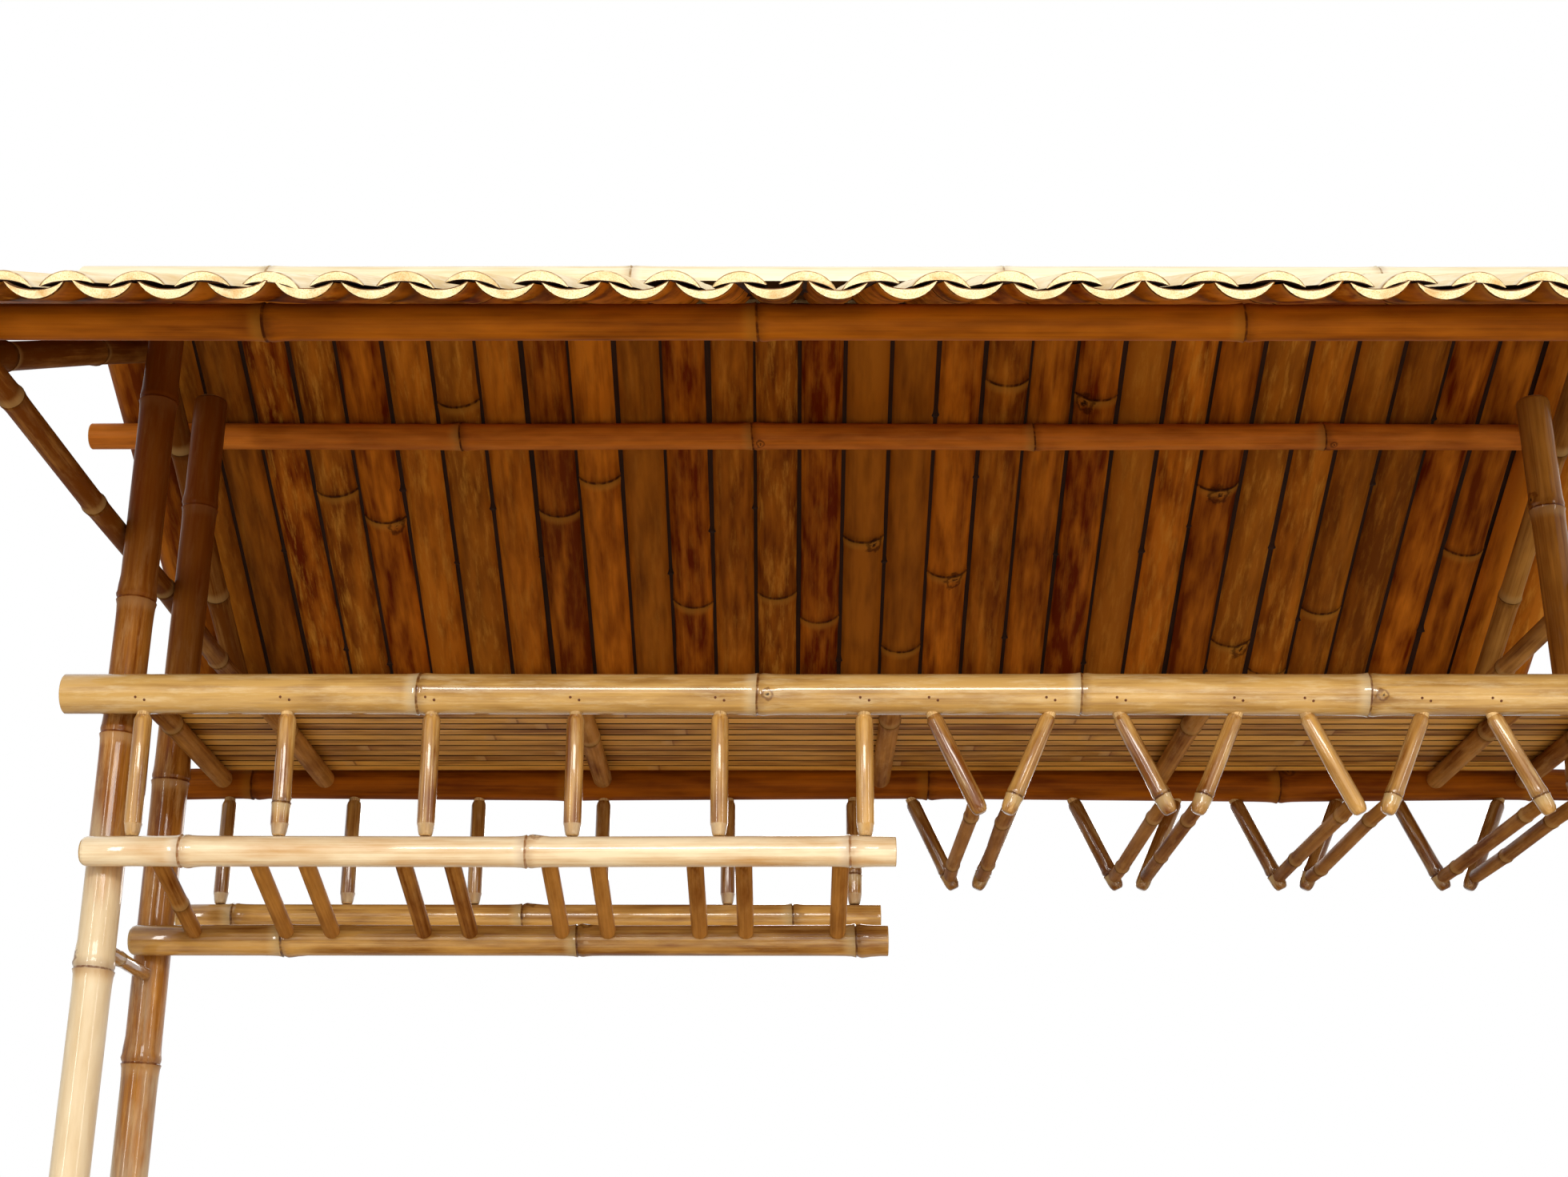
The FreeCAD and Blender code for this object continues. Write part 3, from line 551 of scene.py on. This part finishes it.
# Split-culm roof tiles: thirds of thick culms, with the skin left on outside and the soft
# inside planed, nailed in two layers that hook over each other. The upper layer has bleached
# in the light to pale straw, and the lower layer's skins have smoked to brown underneath.
tile_skin = bamboo_skin(
    "bamboo_split_tile_smoked", light="ce781c", dark="662200", cast="805016", scar="260c02",
    wax="d89638", mottle=2.2, rough=0.5, shine=0.03, streak=0.35, crease=0.003,
)
bleached_skin = bamboo_skin(
    "bamboo_split_tile_bleached", light="fbf1d4", dark="dfc084", cast="ead6a8", scar="8a6434",
    wax="fdf6e2", mottle=1.4, rough=0.5, shine=0.2,
)
# The upper layer's insides are painted near black, as painted shade for the dark lines between
# the lower tiles seen from below. The lower layer's and the cap's are a lighter weathered brown.
tile_inside_painted_shade = sawn_bamboo(
    "bamboo_split_tile_inside_painted_shade", pale="34190a", pore="1e0e05", stain="160a04"
)
tile_hollow = sawn_bamboo(
    "bamboo_split_tile_hollow_weathered", pale="7a5028", pore="4e2e14", stain="3a200e"
)
tile_end = sawn_bamboo("bamboo_split_tile_sawn_end", pale="fbeec4", pore="e2bc74", stain="c89448")
# Round a joint of a tile: place along it, then how far its skin stands out and how far the web
# inside does, each as a share.
TILE_JOINT = (
    (-0.022, 0.0, 0.0), (-0.008, 0.22, 0.0), (-0.003, 0.6, 0.4), (-0.0012, 1.1, 1.0),
    (0.0, 0.5, 1.0), (0.0014, 0.45, 0.7), (0.004, 0.85, 0.1), (0.009, 0.45, 0.0), (0.022, 0.0, 0.0),
)


def spaced_joints(length, pitch, seed, first=None):
    """Places of the joints along a culm, a little uneven as a grown culm's are."""
    draw = random.Random(seed)
    place = first if first is not None else pitch * draw.uniform(0.2, 0.9)
    found = []
    while place < length - 0.02:
        found.append(place)
        place += pitch * draw.uniform(0.9, 1.1)
    return found


def split_tile(origin, across, upward, along, radius, wall, arc, length, joints, seed, look,
               hollow_up, buds=False, steps=12):
    """A culm split lengthwise: each ring runs over its skin and back along its inside.

    Planing has left the wall thickest in the middle. arc is in degrees.
    """
    ridge_height = 0.0011
    web_height = 0.0028
    bevel = 0.0008
    draw = random.Random(seed)
    half = math.radians(arc) / 2
    sign = -1 if hollow_up else 1
    outer = np.linspace(-half, half, steps + 1)
    inner = np.linspace(half * 0.98, -half * 0.98, steps - 1)
    shift = np.array([draw.uniform(-9, 9) for _ in range(3)])
    offsets, ridges, webs = zip(*TILE_JOINT)
    places = {0.0, length - 0.02, length - 0.008, length - 0.003, length}
    places.update(ring_places(0.0007, length - 0.0007, joints, offsets))
    wave = draw.uniform(5, 12)
    phase = draw.uniform(0, 2 * math.pi)
    slant = draw.uniform(-0.002, 0.002)
    bud_turn = draw.choice(outer[3:-3])
    bud_size = draw.uniform(0.008, 0.011)
    total = 2 * steps
    part = new_part(look)
    for place in sorted(places):
        _, near = nearest_joint(place, joints)
        ridge = np.interp(near, offsets, ridges) * ridge_height
        web = np.interp(near, offsets, webs) * web_height
        trim = bevel if place in (0.0, length) else 0.0
        side = 0.0004 * math.sin(phase + wave * place)
        bud = np.full((total, 3), NO_BUD)
        outer_radius = np.full(steps + 1, radius - 0.00125 + ridge - trim)
        if buds and joints:
            bud[:steps + 1, 0] = np.abs(outer - bud_turn) * radius / bud_size
            bud[:steps + 1, 1] = (near - 0.008) / bud_size
            bud[:steps + 1, 2] = 0.0
            spread = (bud[:steps + 1] ** 2).sum(axis=1)
            outer_radius -= 0.0016 * np.exp(-3 * spread)
        around = np.concatenate([outer, inner])
        thickness = wall * (1 - 0.7 * (inner / half) ** 2)
        reach = np.concatenate([outer_radius, radius - thickness - web + trim])
        xs = np.sin(around) * reach + side
        ys = sign * np.cos(around) * reach
        ends = place + slant * np.sin(around) * (0.0 if trim else 1.0)
        grain = np.stack([xs, ys, ends], axis=1)[::sign]
        points = np.array(origin) + grain @ np.array([across, upward, along])
        # The rim of the sawn end at the eave has weathered brown, as a joint has.
        near = max(-near, place - length) if near > 0 else -near
        add_ring(part, points, grain + shift, near, bud[::sign])
    skin_sides = range(steps) if sign > 0 else range(total - steps - 1, total - 1)
    part["side_cut"] = {side: 1 for side in range(total) if side not in skin_sides}
    part["end_cut"] = 2
    return part


# Joints that show on the underside of the back slope: tile counted from the right, place down
# the slope, and whether the joint has a bud scar.
SEEN_JOINTS = {
    2: (0.35, False), 5: (0.445, False), 6: (0.55, False), 7: (0.50, True), 8: (0.25, True),
    10: (0.62, False), 11: (0.12, True), 13: (0.10, False), 14: (0.385, True), 15: (0.51, False),
    16: (0.33, True), 17: (0.46, False), 18: (0.42, False), 20: (0.435, False), 22: (0.24, False),
    23: (0.29, False), 25: (0.13, False), 27: (0.30, True), 28: (0.26, False), 31: (0.2, False),
}
tile_radius = 0.0285
tile_half_arc = math.radians(59)
tile_gap = 0.0025
tile_pitch = 2 * tile_radius * math.sin(tile_half_arc) + tile_gap
# Half a rafter and a purlin lie between the rafters' middle line and the tiles.
tile_bed = 0.0436
# The upper layer hooks into the lower one as deep as the walls of the solid tiles let it.
solid_wall = 0.0065
clearance = 0.0003
hook = math.cos(tile_half_arc) + math.cos(tile_half_arc / 3)
upper_centre = tile_radius + clearance - (tile_radius - solid_wall) * hook
roof_half_depth = 0.600
ridge_half_gap = 0.002
tile_start = ridge_half_gap / math.cos(slope) - tile_bed * math.tan(slope)
tile_stack = tile_bed + upper_centre + tile_radius
tile_length = (roof_half_depth - tile_stack * math.sin(slope)) / math.cos(slope) - tile_start
for face, way in (("front", -1), ("back", 1)):
    along = Vector((0, way * math.cos(slope), -math.sin(slope)))
    upward = Vector((0, way * math.sin(slope), math.cos(slope)))
    across = upward.cross(along)
    for layer, centre, hollow_up, count, shrink, sway, skin, inside in (
        ("lower", tile_radius, True, 33, 0.0004, 3, tile_skin, tile_hollow),
        ("upper", upper_centre, False, 32, 0.0012, 7, bleached_skin, tile_inside_painted_shade),
    ):
        node = "roof_tiles_%s_%s" % (layer, face)
        parts = []
        for index in range(count):
            seed = 1000 + 200 * (way > 0) + 100 * hollow_up + index
            draw = random.Random(seed)
            radius = tile_radius - draw.uniform(0.0, shrink)
            yaw = math.radians(draw.uniform(-0.22, 0.22))
            roll = math.radians(draw.uniform(-sway, sway))
            tile_along = along * math.cos(yaw) + across * math.sin(yaw)
            level_across = across * math.cos(yaw) - along * math.sin(yaw)
            tile_across = level_across * math.cos(roll) + upward * math.sin(roll)
            tile_upward = upward * math.cos(roll) - level_across * math.sin(roll)
            offset = (index - (count - 1) / 2) * tile_pitch - math.sin(yaw) * tile_length / 2
            lift = (radius - tile_radius) * (1 if hollow_up else -1)
            drop = 0 if hollow_up else draw.uniform(0, 0.001)
            base = Vector((0, 0, apex_level)) + along * tile_start + across * offset
            base += upward * (tile_bed + centre + lift - drop)
            joints, bud = spaced_joints(tile_length, 0.62, seed + 7), False
            if hollow_up and way > 0:
                place, bud = SEEN_JOINTS.get(index, (None, False))
                joints = [place] if place else []
            look = (draw.uniform(0.05, 0.8), draw.choice((0.0, 0.15, 0.3, 0.5)),
                    draw.choice((0.0, 0.2, 0.4, 0.8)))
            arc = draw.uniform(118, 122) if hollow_up else draw.uniform(104, 115)
            wall = draw.uniform(0.0088, 0.0105)
            parts.append(split_tile(
                base, tile_across, tile_upward, tile_along, radius, wall, arc,
                tile_length - draw.uniform(0.0004, 0.006), joints, seed, look, hollow_up, bud,
            ))
        make_piece(node, parts, [skin, inside, tile_end])

# Ridge cap: the larger half culm that covers the joint between the two slopes.
low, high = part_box("ridge_cap")
cap_radius = 0.045
cap_length = high.x - low.x
cap = split_tile(
    (low.x, 0, high.z - cap_radius), (0, 1, 0), (0, 0, 1), (1, 0, 0), cap_radius, wall=0.007,
    arc=156, length=cap_length, joints=spaced_joints(cap_length, 0.38, 5, 0.2), seed=5,
    look=(0.2, 0.1, 0.4), hollow_up=False, steps=20,
)
make_piece("ridge_cap", [cap], [bleached_skin, tile_hollow, tile_end])

# Front beam of the rack: the thickest culm of the hut, bleached to honey, polished and
# lacquered, with its joints left standing. It lies against the front posts, and two wire
# nails pin every rung that is let into it.
honey_skin = bamboo_skin(
    "bamboo_culm_honey_lacquered", light="dab06a", dark="80501a", cast="a88444", scar="5c3010",
    wax="f4e2b8", mottle=2.0, rough=0.24, shine=0.15, lacquer=0.9,
)
# The nails' heads are dull rust in specks of a millimetre.
nail_steel, tree, surface = new_material("steel_wire_nail_rusted")
place = add_node(tree, "TexCoord").outputs["Object"]
rust = add_node(tree, "TexNoise", Vector=place, Scale=900.0, Detail=3.0)
rusty = add_node(tree, "Mix", COLOURS, _0=rust, _6=linear("4a2a14"), _7=linear("7a4218"))
set_sockets(tree, surface, Base_Color=rusty, Metallic=0.2, Roughness=0.7)


def nail_head(place, out, radius=0.0013, sides=8):
    """The low domed head of a wire nail driven flush, facing the way that out points."""
    across = out.cross(Vector((1, 0, 0))).normalized()
    upward = across.cross(out)
    turn = np.linspace(0, 2 * math.pi, sides, endpoint=False)
    rim = radius * np.stack([np.cos(turn), np.sin(turn)], axis=1) @ np.array([across, upward])
    part = new_part((0, 0, 0))
    for level, share in ((-0.001, 1.0), (0.0001, 1.0), (0.0004, 0.6)):
        add_ring(part, np.array(place + out * level) + share * rim, grain=0.0, cut=2)
    return part


low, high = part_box("rack_beam_front")
rack_level = 1.887
front_beam_y = -0.1733
back_beam_y = 0.1447
rung_pitch = 0.132
rung_places = [-0.681 + rung_pitch * step for step in range(6)]
hanger_middles = [0.095 + 0.171 * step for step in range(4)]
hanger_spread = 0.0534
beam = culm(
    (low.x, front_beam_y, rack_level), (high.x, front_beam_y, rack_level), 0.0375,
    [0.327, 0.637, 0.933, 1.197, 1.495], 101, tone=0.25, hue=0.3, scuff=0.4, width_end=0.0395,
    swell=1.1, buds=(0, 0.95, 0.3), sides=44,
)
parts = [beam]
tops = list(rung_places)
tops += [middle + mark * hanger_spread for middle in hanger_middles for mark in (-1, 1)]
for place in tops:
    ring = min(beam["rings"], key=lambda points: abs(points[0][0] - place))
    for gap in (-0.004, 0.004):
        # The right nail of a pair sits a little lower than the left one.
        out = Vector((0, -0.85, -0.52 - 12 * gap)).normalized()
        spot = Vector(ring[np.argmax(ring @ np.array(out))])
        spot.x = place + gap
        parts.append(nail_head(spot, out))
make_piece("rack_beam_front", parts, [honey_skin, end_grain, nail_steel])

# Bearers between the two rack beams: matt canes rounded off at both ends and pinned, seven in
# a row under the shelf.
for index in range(1, 8):
    whole_culm(
        "rack_bearer_%d" % index, "culm_honey", matt_skin, 0.020, [0.06 + 0.02 * (index % 4)],
        110 + index, tips=("round", "round"), tone=0.45, scuff=0.4, swell=1.2, kink=0.0012,
        sides=20,
    )

# Rack shelf: one wide flattened strip beside the front beam, then narrow ones to the back beam.
# They are culms split, opened out flat and planed to width, a little crowned on the skin side.
# The faces are golden brown and only oiled, and the split edges are painted nearly black as painted
# shade in the gaps between strips.
strip_skin = bamboo_skin(
    "bamboo_strip_planed_oiled", light="efb658", dark="86500f", cast="a07024", scar="8a5424",
    wax="f0c684", mottle=1.8, rough=0.45, shine=0.12,
)
# Painted shade: the split edges are nearly black so that the gaps between strips read dark.
strip_edge_painted_shade = sawn_bamboo("bamboo_strip_edge_painted_shade", pale="2e1404", pore="1c0c02", stain="1e0e06")
# Round a joint of a strip: place along it, and how far its face stands out, as a share.
STRIP_JOINT = ((-0.012, 0), (-0.003, 0.3), (0.0, 1), (0.0015, 0.2), (0.006, 0.4), (0.014, 0))


def strip(origin, across, upward, along, width, thickness, length, joints, seed):
    """One flattened strip: each ring runs along its flat and back over its crowned face."""
    joint_height = 0.0006
    edge_height = thickness * 0.72
    draw = random.Random(seed)
    shift = np.array([draw.uniform(-9, 9) for _ in range(3)])
    crown_at = np.linspace(0.98, 0.02, 7)
    crown = thickness * (0.8 + 0.2 * np.sin(np.pi * crown_at))
    xs = np.concatenate([[0.0, 1.0, 1.0], crown_at, [0.0]]) * width
    ys = np.concatenate([[0.0, 0.0, edge_height], crown, [edge_height]])
    offsets, lifts = zip(*STRIP_JOINT)
    phase = draw.uniform(0, 2 * math.pi)
    wave = draw.uniform(4, 10)
    part = new_part((draw.uniform(0.0, 0.75), draw.uniform(0, 0.4), draw.choice((0, 0.4))))
    for place in ring_places(0.0, length, joints, offsets, 0.08):
        _, near = nearest_joint(place, joints)
        lift = np.interp(near, offsets, lifts) * joint_height
        side = 0.0005 * math.sin(phase + wave * place)
        heights = np.minimum(ys + np.where(ys > edge_height, lift, 0.0), thickness)
        grain = np.stack([xs, heights, np.full(len(xs), place)], axis=1)
        points = np.array(origin) + (grain + (side, 0, 0)) @ np.array([across, upward, along])
        add_ring(part, points, grain + shift, near)
    part["side_cut"] = {1: 1, len(xs) - 1: 1}
    return part


def strip_field(node, width, pitch, thickness, joint_pitch, seed, across=(0, 1, 0),
                upward=(0, 0, 1), along=(1, 0, 0), corner=(0, 0, 0)):
    """A row of like strips that fills a CAD node's box. corner is 0 or 1 for low or high."""
    low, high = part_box(node)
    across, upward, along = Vector(across), Vector(upward), Vector(along)
    row = abs((high - low).dot(across))
    length = abs((high - low).dot(along))
    origin = Vector((low, high)[end][axis] for axis, end in enumerate(corner))
    parts = []
    for step in range(round((row - width) / pitch) + 1):
        parts.append(strip(
            origin + across * pitch * step, across, upward, along, width, thickness, length,
            spaced_joints(length, joint_pitch, seed + step), seed + step,
        ))
    make_piece(node, parts, [strip_skin, strip_edge_painted_shade])


strip_field("rack_shelf_board", 0.066, 0.069, 0.006, joint_pitch=0.5, seed=131)
strip_field("rack_shelf_strips", 0.016, 0.019, 0.006, joint_pitch=0.6, seed=140)

# Rails of the bottle rack: a bleached cream cane in front, where bottle necks rest, and two tan
# ones behind it, low and high. The cream one is the palest cane of the hut and shines softly.
cream_skin = bamboo_skin(
    "bamboo_cane_bleached_lacquered", light="f8e8c6", dark="c89452", cast="dcb880", scar="8e5c2c",
    wax="fff4dc", mottle=1.8, rough=0.28, shine=0.25, lacquer=0.8,
)
front_rail = Vector((0, -0.1678, 1.741))
low_rail = Vector((0, 0.0002, 1.693))
back_rail = Vector((0, 0.1447, 1.745))
for node, skin, width, joints, seed, tone in (
    ("bottle_rail_front", cream_skin, 0.028, [0.091, 0.4, 0.69], 17, 0.25),
    ("bottle_rail_low", cane_skin, 0.030, [0.148, 0.432, 0.7], 15, 0.45),
    ("bottle_rail_back", cane_skin, 0.027, [0.06, 0.36, 0.64], 16, 0.3),
):
    whole_culm(
        node, "culm_pale", skin, width, joints, seed, tips=("round", "open"), tone=tone, hue=0.1,
        scuff=0.2, swell=1.3, kink=0.0012, buds=(0, 0.4, -0.9),
    )

# Rungs of the bottle rack: tan canes with rounded shoulders let into the beams above, and
# whittled pale tips let into the rails below.
front_foot, back_foot = 1.7553, 1.7588
front_top, back_top = rack_level - 0.0192, 1.8697
parts = []
for step, place in enumerate(rung_places):
    seed = 150 + step
    draw = random.Random(seed)
    parts.append(culm(
        (place, front_rail.y, front_foot), (place, front_beam_y, front_top), 0.0168,
        [0.03] if step == 1 else [], seed, ("whittled", "tenon"),
        tone=draw.uniform(0.35, 0.65), hue=0.1, scuff=0.3, sides=22,
    ))
make_piece("bottle_rungs_front", parts, [cane_skin, end_grain])
parts = []
for step, place in enumerate(rung_places):
    seed = 160 + step
    draw = random.Random(seed)
    parts.append(culm(
        (place, back_rail.y, back_foot), (place, back_rail.y, back_top), 0.016,
        [draw.uniform(0.03, 0.08)] if step % 2 else [], seed, ("whittled", "tenon"),
        tone=draw.uniform(0.6, 0.9), hue=0.3, scuff=0.2, sides=20,
    ))
make_piece("bottle_rungs_back", parts, [cane_skin, end_grain])

# Bottle rods: matt canes let into the front rail. A pair in every bay slopes down to the low
# rail and ends rounded against it, so a bottle lies in the gap.
rod_spread = 0.044
parts = []
run = (low_rail - front_rail).normalized()
for bay in range(5):
    for mark in (-1, 1):
        seed = 170 + 2 * bay + mark
        draw = random.Random(seed)
        place = Vector((rung_places[bay] + rung_pitch / 2 + mark * rod_spread, 0, 0))
        parts.append(culm(
            front_rail + place + run * 0.0145, low_rail + place - run * 0.0153, 0.016,
            [draw.uniform(0.03, 0.12)] if draw.random() < 0.3 else [], seed, ("tenon", "round"),
            tone=draw.uniform(0.2, 0.6), hue=0.1, scuff=0.2, sides=20,
        ))
make_piece("bottle_rods", parts, [matt_skin, end_grain])

# Glass hangers: leaning tan canes let into both beams carry two matt rods between their knees,
# and a glass's foot rests across the rods with its stem in the slot between them.
front_leg_top = 1.8675
knee_drop = 0.101
knee_level = rack_level - knee_drop
toe = 0.012
slot_half = 0.0165
rod_inset = 0.0083
lean = Vector((0.037, 0, knee_drop - 0.0195)).normalized()
for unit, centre in enumerate(hanger_middles):
    legs, rods = [], []
    for mark in (-1, 1):
        upward = Vector((mark * lean.x, 0, lean.z))
        knee_x = centre + mark * slot_half
        for order, beam_y, top, darker, hue in (
            (3, front_beam_y, front_leg_top, 0, 0.2),
            (5, back_beam_y, back_top, 0.3, 0.5),
        ):
            seed = 200 + 10 * unit + order + mark
            draw = random.Random(seed)
            knee = Vector((knee_x, beam_y, knee_level))
            reach = (top - knee.z) / lean.z
            legs.append(culm(
                knee - upward * toe, knee + upward * reach, 0.0158,
                [0.018] if draw.random() < 0.6 else [], seed, ("knob", "tenon"),
                tone=draw.uniform(0.4, 0.7) + darker, hue=hue, scuff=0.4, kink=0.0004, swell=1.3,
                sides=22,
            ))
        seed = 240 + 10 * unit + mark
        draw = random.Random(seed)
        rod = culm(
            (knee_x, front_beam_y + rod_inset, knee_level),
            (knee_x, back_beam_y - rod_inset, knee_level),
            0.014, [draw.uniform(0.04, 0.09), draw.uniform(0.17, 0.26)], seed, ("tenon", "tenon"),
            tone=draw.uniform(0.3, 0.7), hue=0.4, scuff=0.3, kink=0.0016, swell=1.3, sides=20,
        )
        # The rods' skin is the third material.
        rod["cut"] = [2 if cut == 0 else cut for cut in rod["cut"]]
        rods.append(rod)
    node = "glass_hanger_%d" % (unit + 1)
    make_piece(node, legs + rods, [cane_skin, end_grain, matt_skin])

# Base frame: the rails of the counter, the foot rails and the rails of the inner shelf, all
# honey culms let in between the posts, and two back legs of the same smoked culm as the posts.
for node, pitch, seed in (
    ("counter_rail_front", 0.36, 79),
    ("counter_rail_back", 0.36, 80),
    ("foot_rail_front", 0.34, 81),
    ("foot_rail_back", 0.34, 82),
    ("foot_rail_left", 0.30, 83),
    ("foot_rail_right", 0.30, 84),
    ("shelf_rail_front", 0.33, 85),
    ("shelf_rail_back", 0.33, 86),
):
    low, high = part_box(node)
    whole_culm(
        node, "culm_honey", honey_skin, 0.030, spaced_joints(max(high - low), pitch, seed), seed,
        scuff=0.3, swell=1.2, kink=0.001, buds=(0.3, -0.7, 0.6),
    )
for node, seed in (("leg_back_left", 16), ("leg_back_right", 17)):
    whole_culm(
        node, "culm_brown", smoked_skin, post_width, [0.15, 0.42, 0.7, 0.96], seed, tone=0.5,
        scuff=0.3, pale=(0.9, 0.3), swell=1.3, buds=(0, 1, 0),
    )

# Counter bearers: seven honey culms laid across the two counter rails under the boards.
low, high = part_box("counter_bearers")
level = (low.z + high.z) / 2
bearer_places = (-0.7418, -0.6822, -0.3411, 0, 0.3411, 0.6822, 0.7418)
parts = []
for step, place in enumerate(bearer_places):
    seed = 300 + step
    parts.append(culm(
        (place, low.y, level), (place, high.y, level), 0.024,
        spaced_joints(high.y - low.y, 0.25, seed), seed, sides=22,
    ))
make_piece("counter_bearers", parts, [honey_skin, end_grain])

# Counter boards, counter front and inner shelf: wide flattened strips nailed down side by side.
# The middle field of boards stops short of the posts.
for field, seed in (("front", 350), ("middle", 360), ("back", 370)):
    strip_field("counter_deck_" + field, 0.056, 0.060, 0.008, joint_pitch=0.34, seed=seed)
strip_field(
    "counter_slats", 0.044, 0.048, 0.008, joint_pitch=0.31, seed=400,
    across=(-1, 0, 0), upward=(0, -1, 0), along=(0, 0, 1), corner=(1, 1, 0),
)
strip_field(
    "inner_shelf_strips", 0.056, 0.060, 0.008, joint_pitch=0.3, seed=450,
    across=(1, 0, 0), along=(0, -1, 0), corner=(0, 1, 0),
)

# Studio: a plain pale matt floor that keeps the shadow, and a white background that is only seen
# and reflected, with a weak warm light from all round in its place for everything else.
floor_mesh = bpy.data.meshes.new("floor")
floor_mesh.from_pydata([(-9, -9, 0), (9, -9, 0), (9, 9, 0), (-9, 9, 0)], [], [(0, 1, 2, 3)])
floor = bpy.data.objects.new("floor", floor_mesh)
bpy.context.scene.collection.objects.link(floor)
floor_paint, tree, surface = new_material("floor_paint_matt")
clouds = add_node(tree, "TexNoise", Scale=40.0, Detail=3.0)
paint = add_node(tree, "Mix", COLOURS, _0=clouds, _6=linear("e6e4e0"), _7=linear("eceae6"))
set_sockets(tree, surface, Base_Color=paint, Roughness=0.8)
floor_mesh.materials.append(floor_paint)

world = bpy.data.worlds.new("studio")
bpy.context.scene.world = world
world.use_nodes = True
tree = world.node_tree
path = add_node(tree, "LightPath")
seen = path.outputs["Is Camera Ray"]
for ray in ("Is Glossy Ray", "Is Transmission Ray"):
    seen = add_node(tree, "Math", {"operation": "MAXIMUM"}, _0=seen, _1=path.outputs[ray])
white = add_node(tree, "Background", Color=(1, 1, 1, 1), Strength=1.0)
ambient = add_node(tree, "Background", Color=(1, 0.93, 0.82, 1), Strength=0.25)
mixed = add_node(tree, "MixShader", _0=seen, _1=ambient, _2=white)
set_sockets(tree, tree.nodes["World Output"], Surface=mixed)

# Lamps: a wide one on the guest's side, with a long tube above it and narrow ones at its left
# and right, as a window and a door, that draw crisp lines on the lacquer. A warm one low down is
# the light that the floor throws back, and two more light the roof and the back.
for name, place, target, size, height, watts, colour in (
    ("tube", (-0.17, -3.4, 2.64), (0, -0.17, 1.8), 1.7, 0.5, 52, (1.0, 0.97, 0.92)),
    ("window", (-2.2, -3.2, 2.1), (-0.5, 0, 1.8), 0.25, 1.5, 26, (1.0, 0.97, 0.92)),
    ("door", (2.4, -2.5, 2.0), (0.7, 0, 2.05), 0.25, 1.2, 14, (1.0, 0.97, 0.92)),
    ("front", (0.1, -3.3, 1.75), (0, 0, 1.9), 2.6, 1.0, 10, (1.0, 0.93, 0.8)),
    ("low", (0.8, -2.5, 0.5), (0.4, 0.1, 2.1), 1.8, 1.0, 15, (1.0, 0.84, 0.6)),
    ("roof", (0.3, -2.2, 4.6), (0, -0.3, 2.3), 1.6, 1.6, 40, (1.0, 0.98, 0.94)),
    ("back", (0.7, 3.2, 3.2), (0, 0, 1.3), 1.8, 1.8, 60, (1.0, 0.97, 0.92)),
):
    lamp = bpy.data.lights.new(name, "AREA")
    lamp.shape = "RECTANGLE"
    lamp.size = size
    lamp.size_y = height
    lamp.energy = watts
    lamp.color = colour
    holder = bpy.data.objects.new(name, lamp)
    holder.location = place
    holder.rotation_euler = (Vector(target) - Vector(place)).to_track_quat("-Z", "Y").to_euler()
    bpy.context.scene.collection.objects.link(holder)

# Camera: a hand-held phone on the guest's side of the hut, tilted up at the roof.
camera_data = bpy.data.cameras.new("camera")
camera_data.sensor_width = 36.0
camera_data.lens = 47.96
camera_place = (-0.0945, -2.0065, 1.308)
tilt_up = math.radians(20.43)
roll = math.radians(0.03)
camera = bpy.data.objects.new("camera", camera_data)
camera.matrix_world = (
    Matrix.Translation(camera_place)
    @ Matrix.Rotation(math.radians(90) + tilt_up, 4, "X")
    @ Matrix.Rotation(roll, 4, "Z")
)
bpy.context.scene.collection.objects.link(camera)
bpy.context.scene.camera = camera
bpy.context.scene.view_settings.view_transform = "Standard"
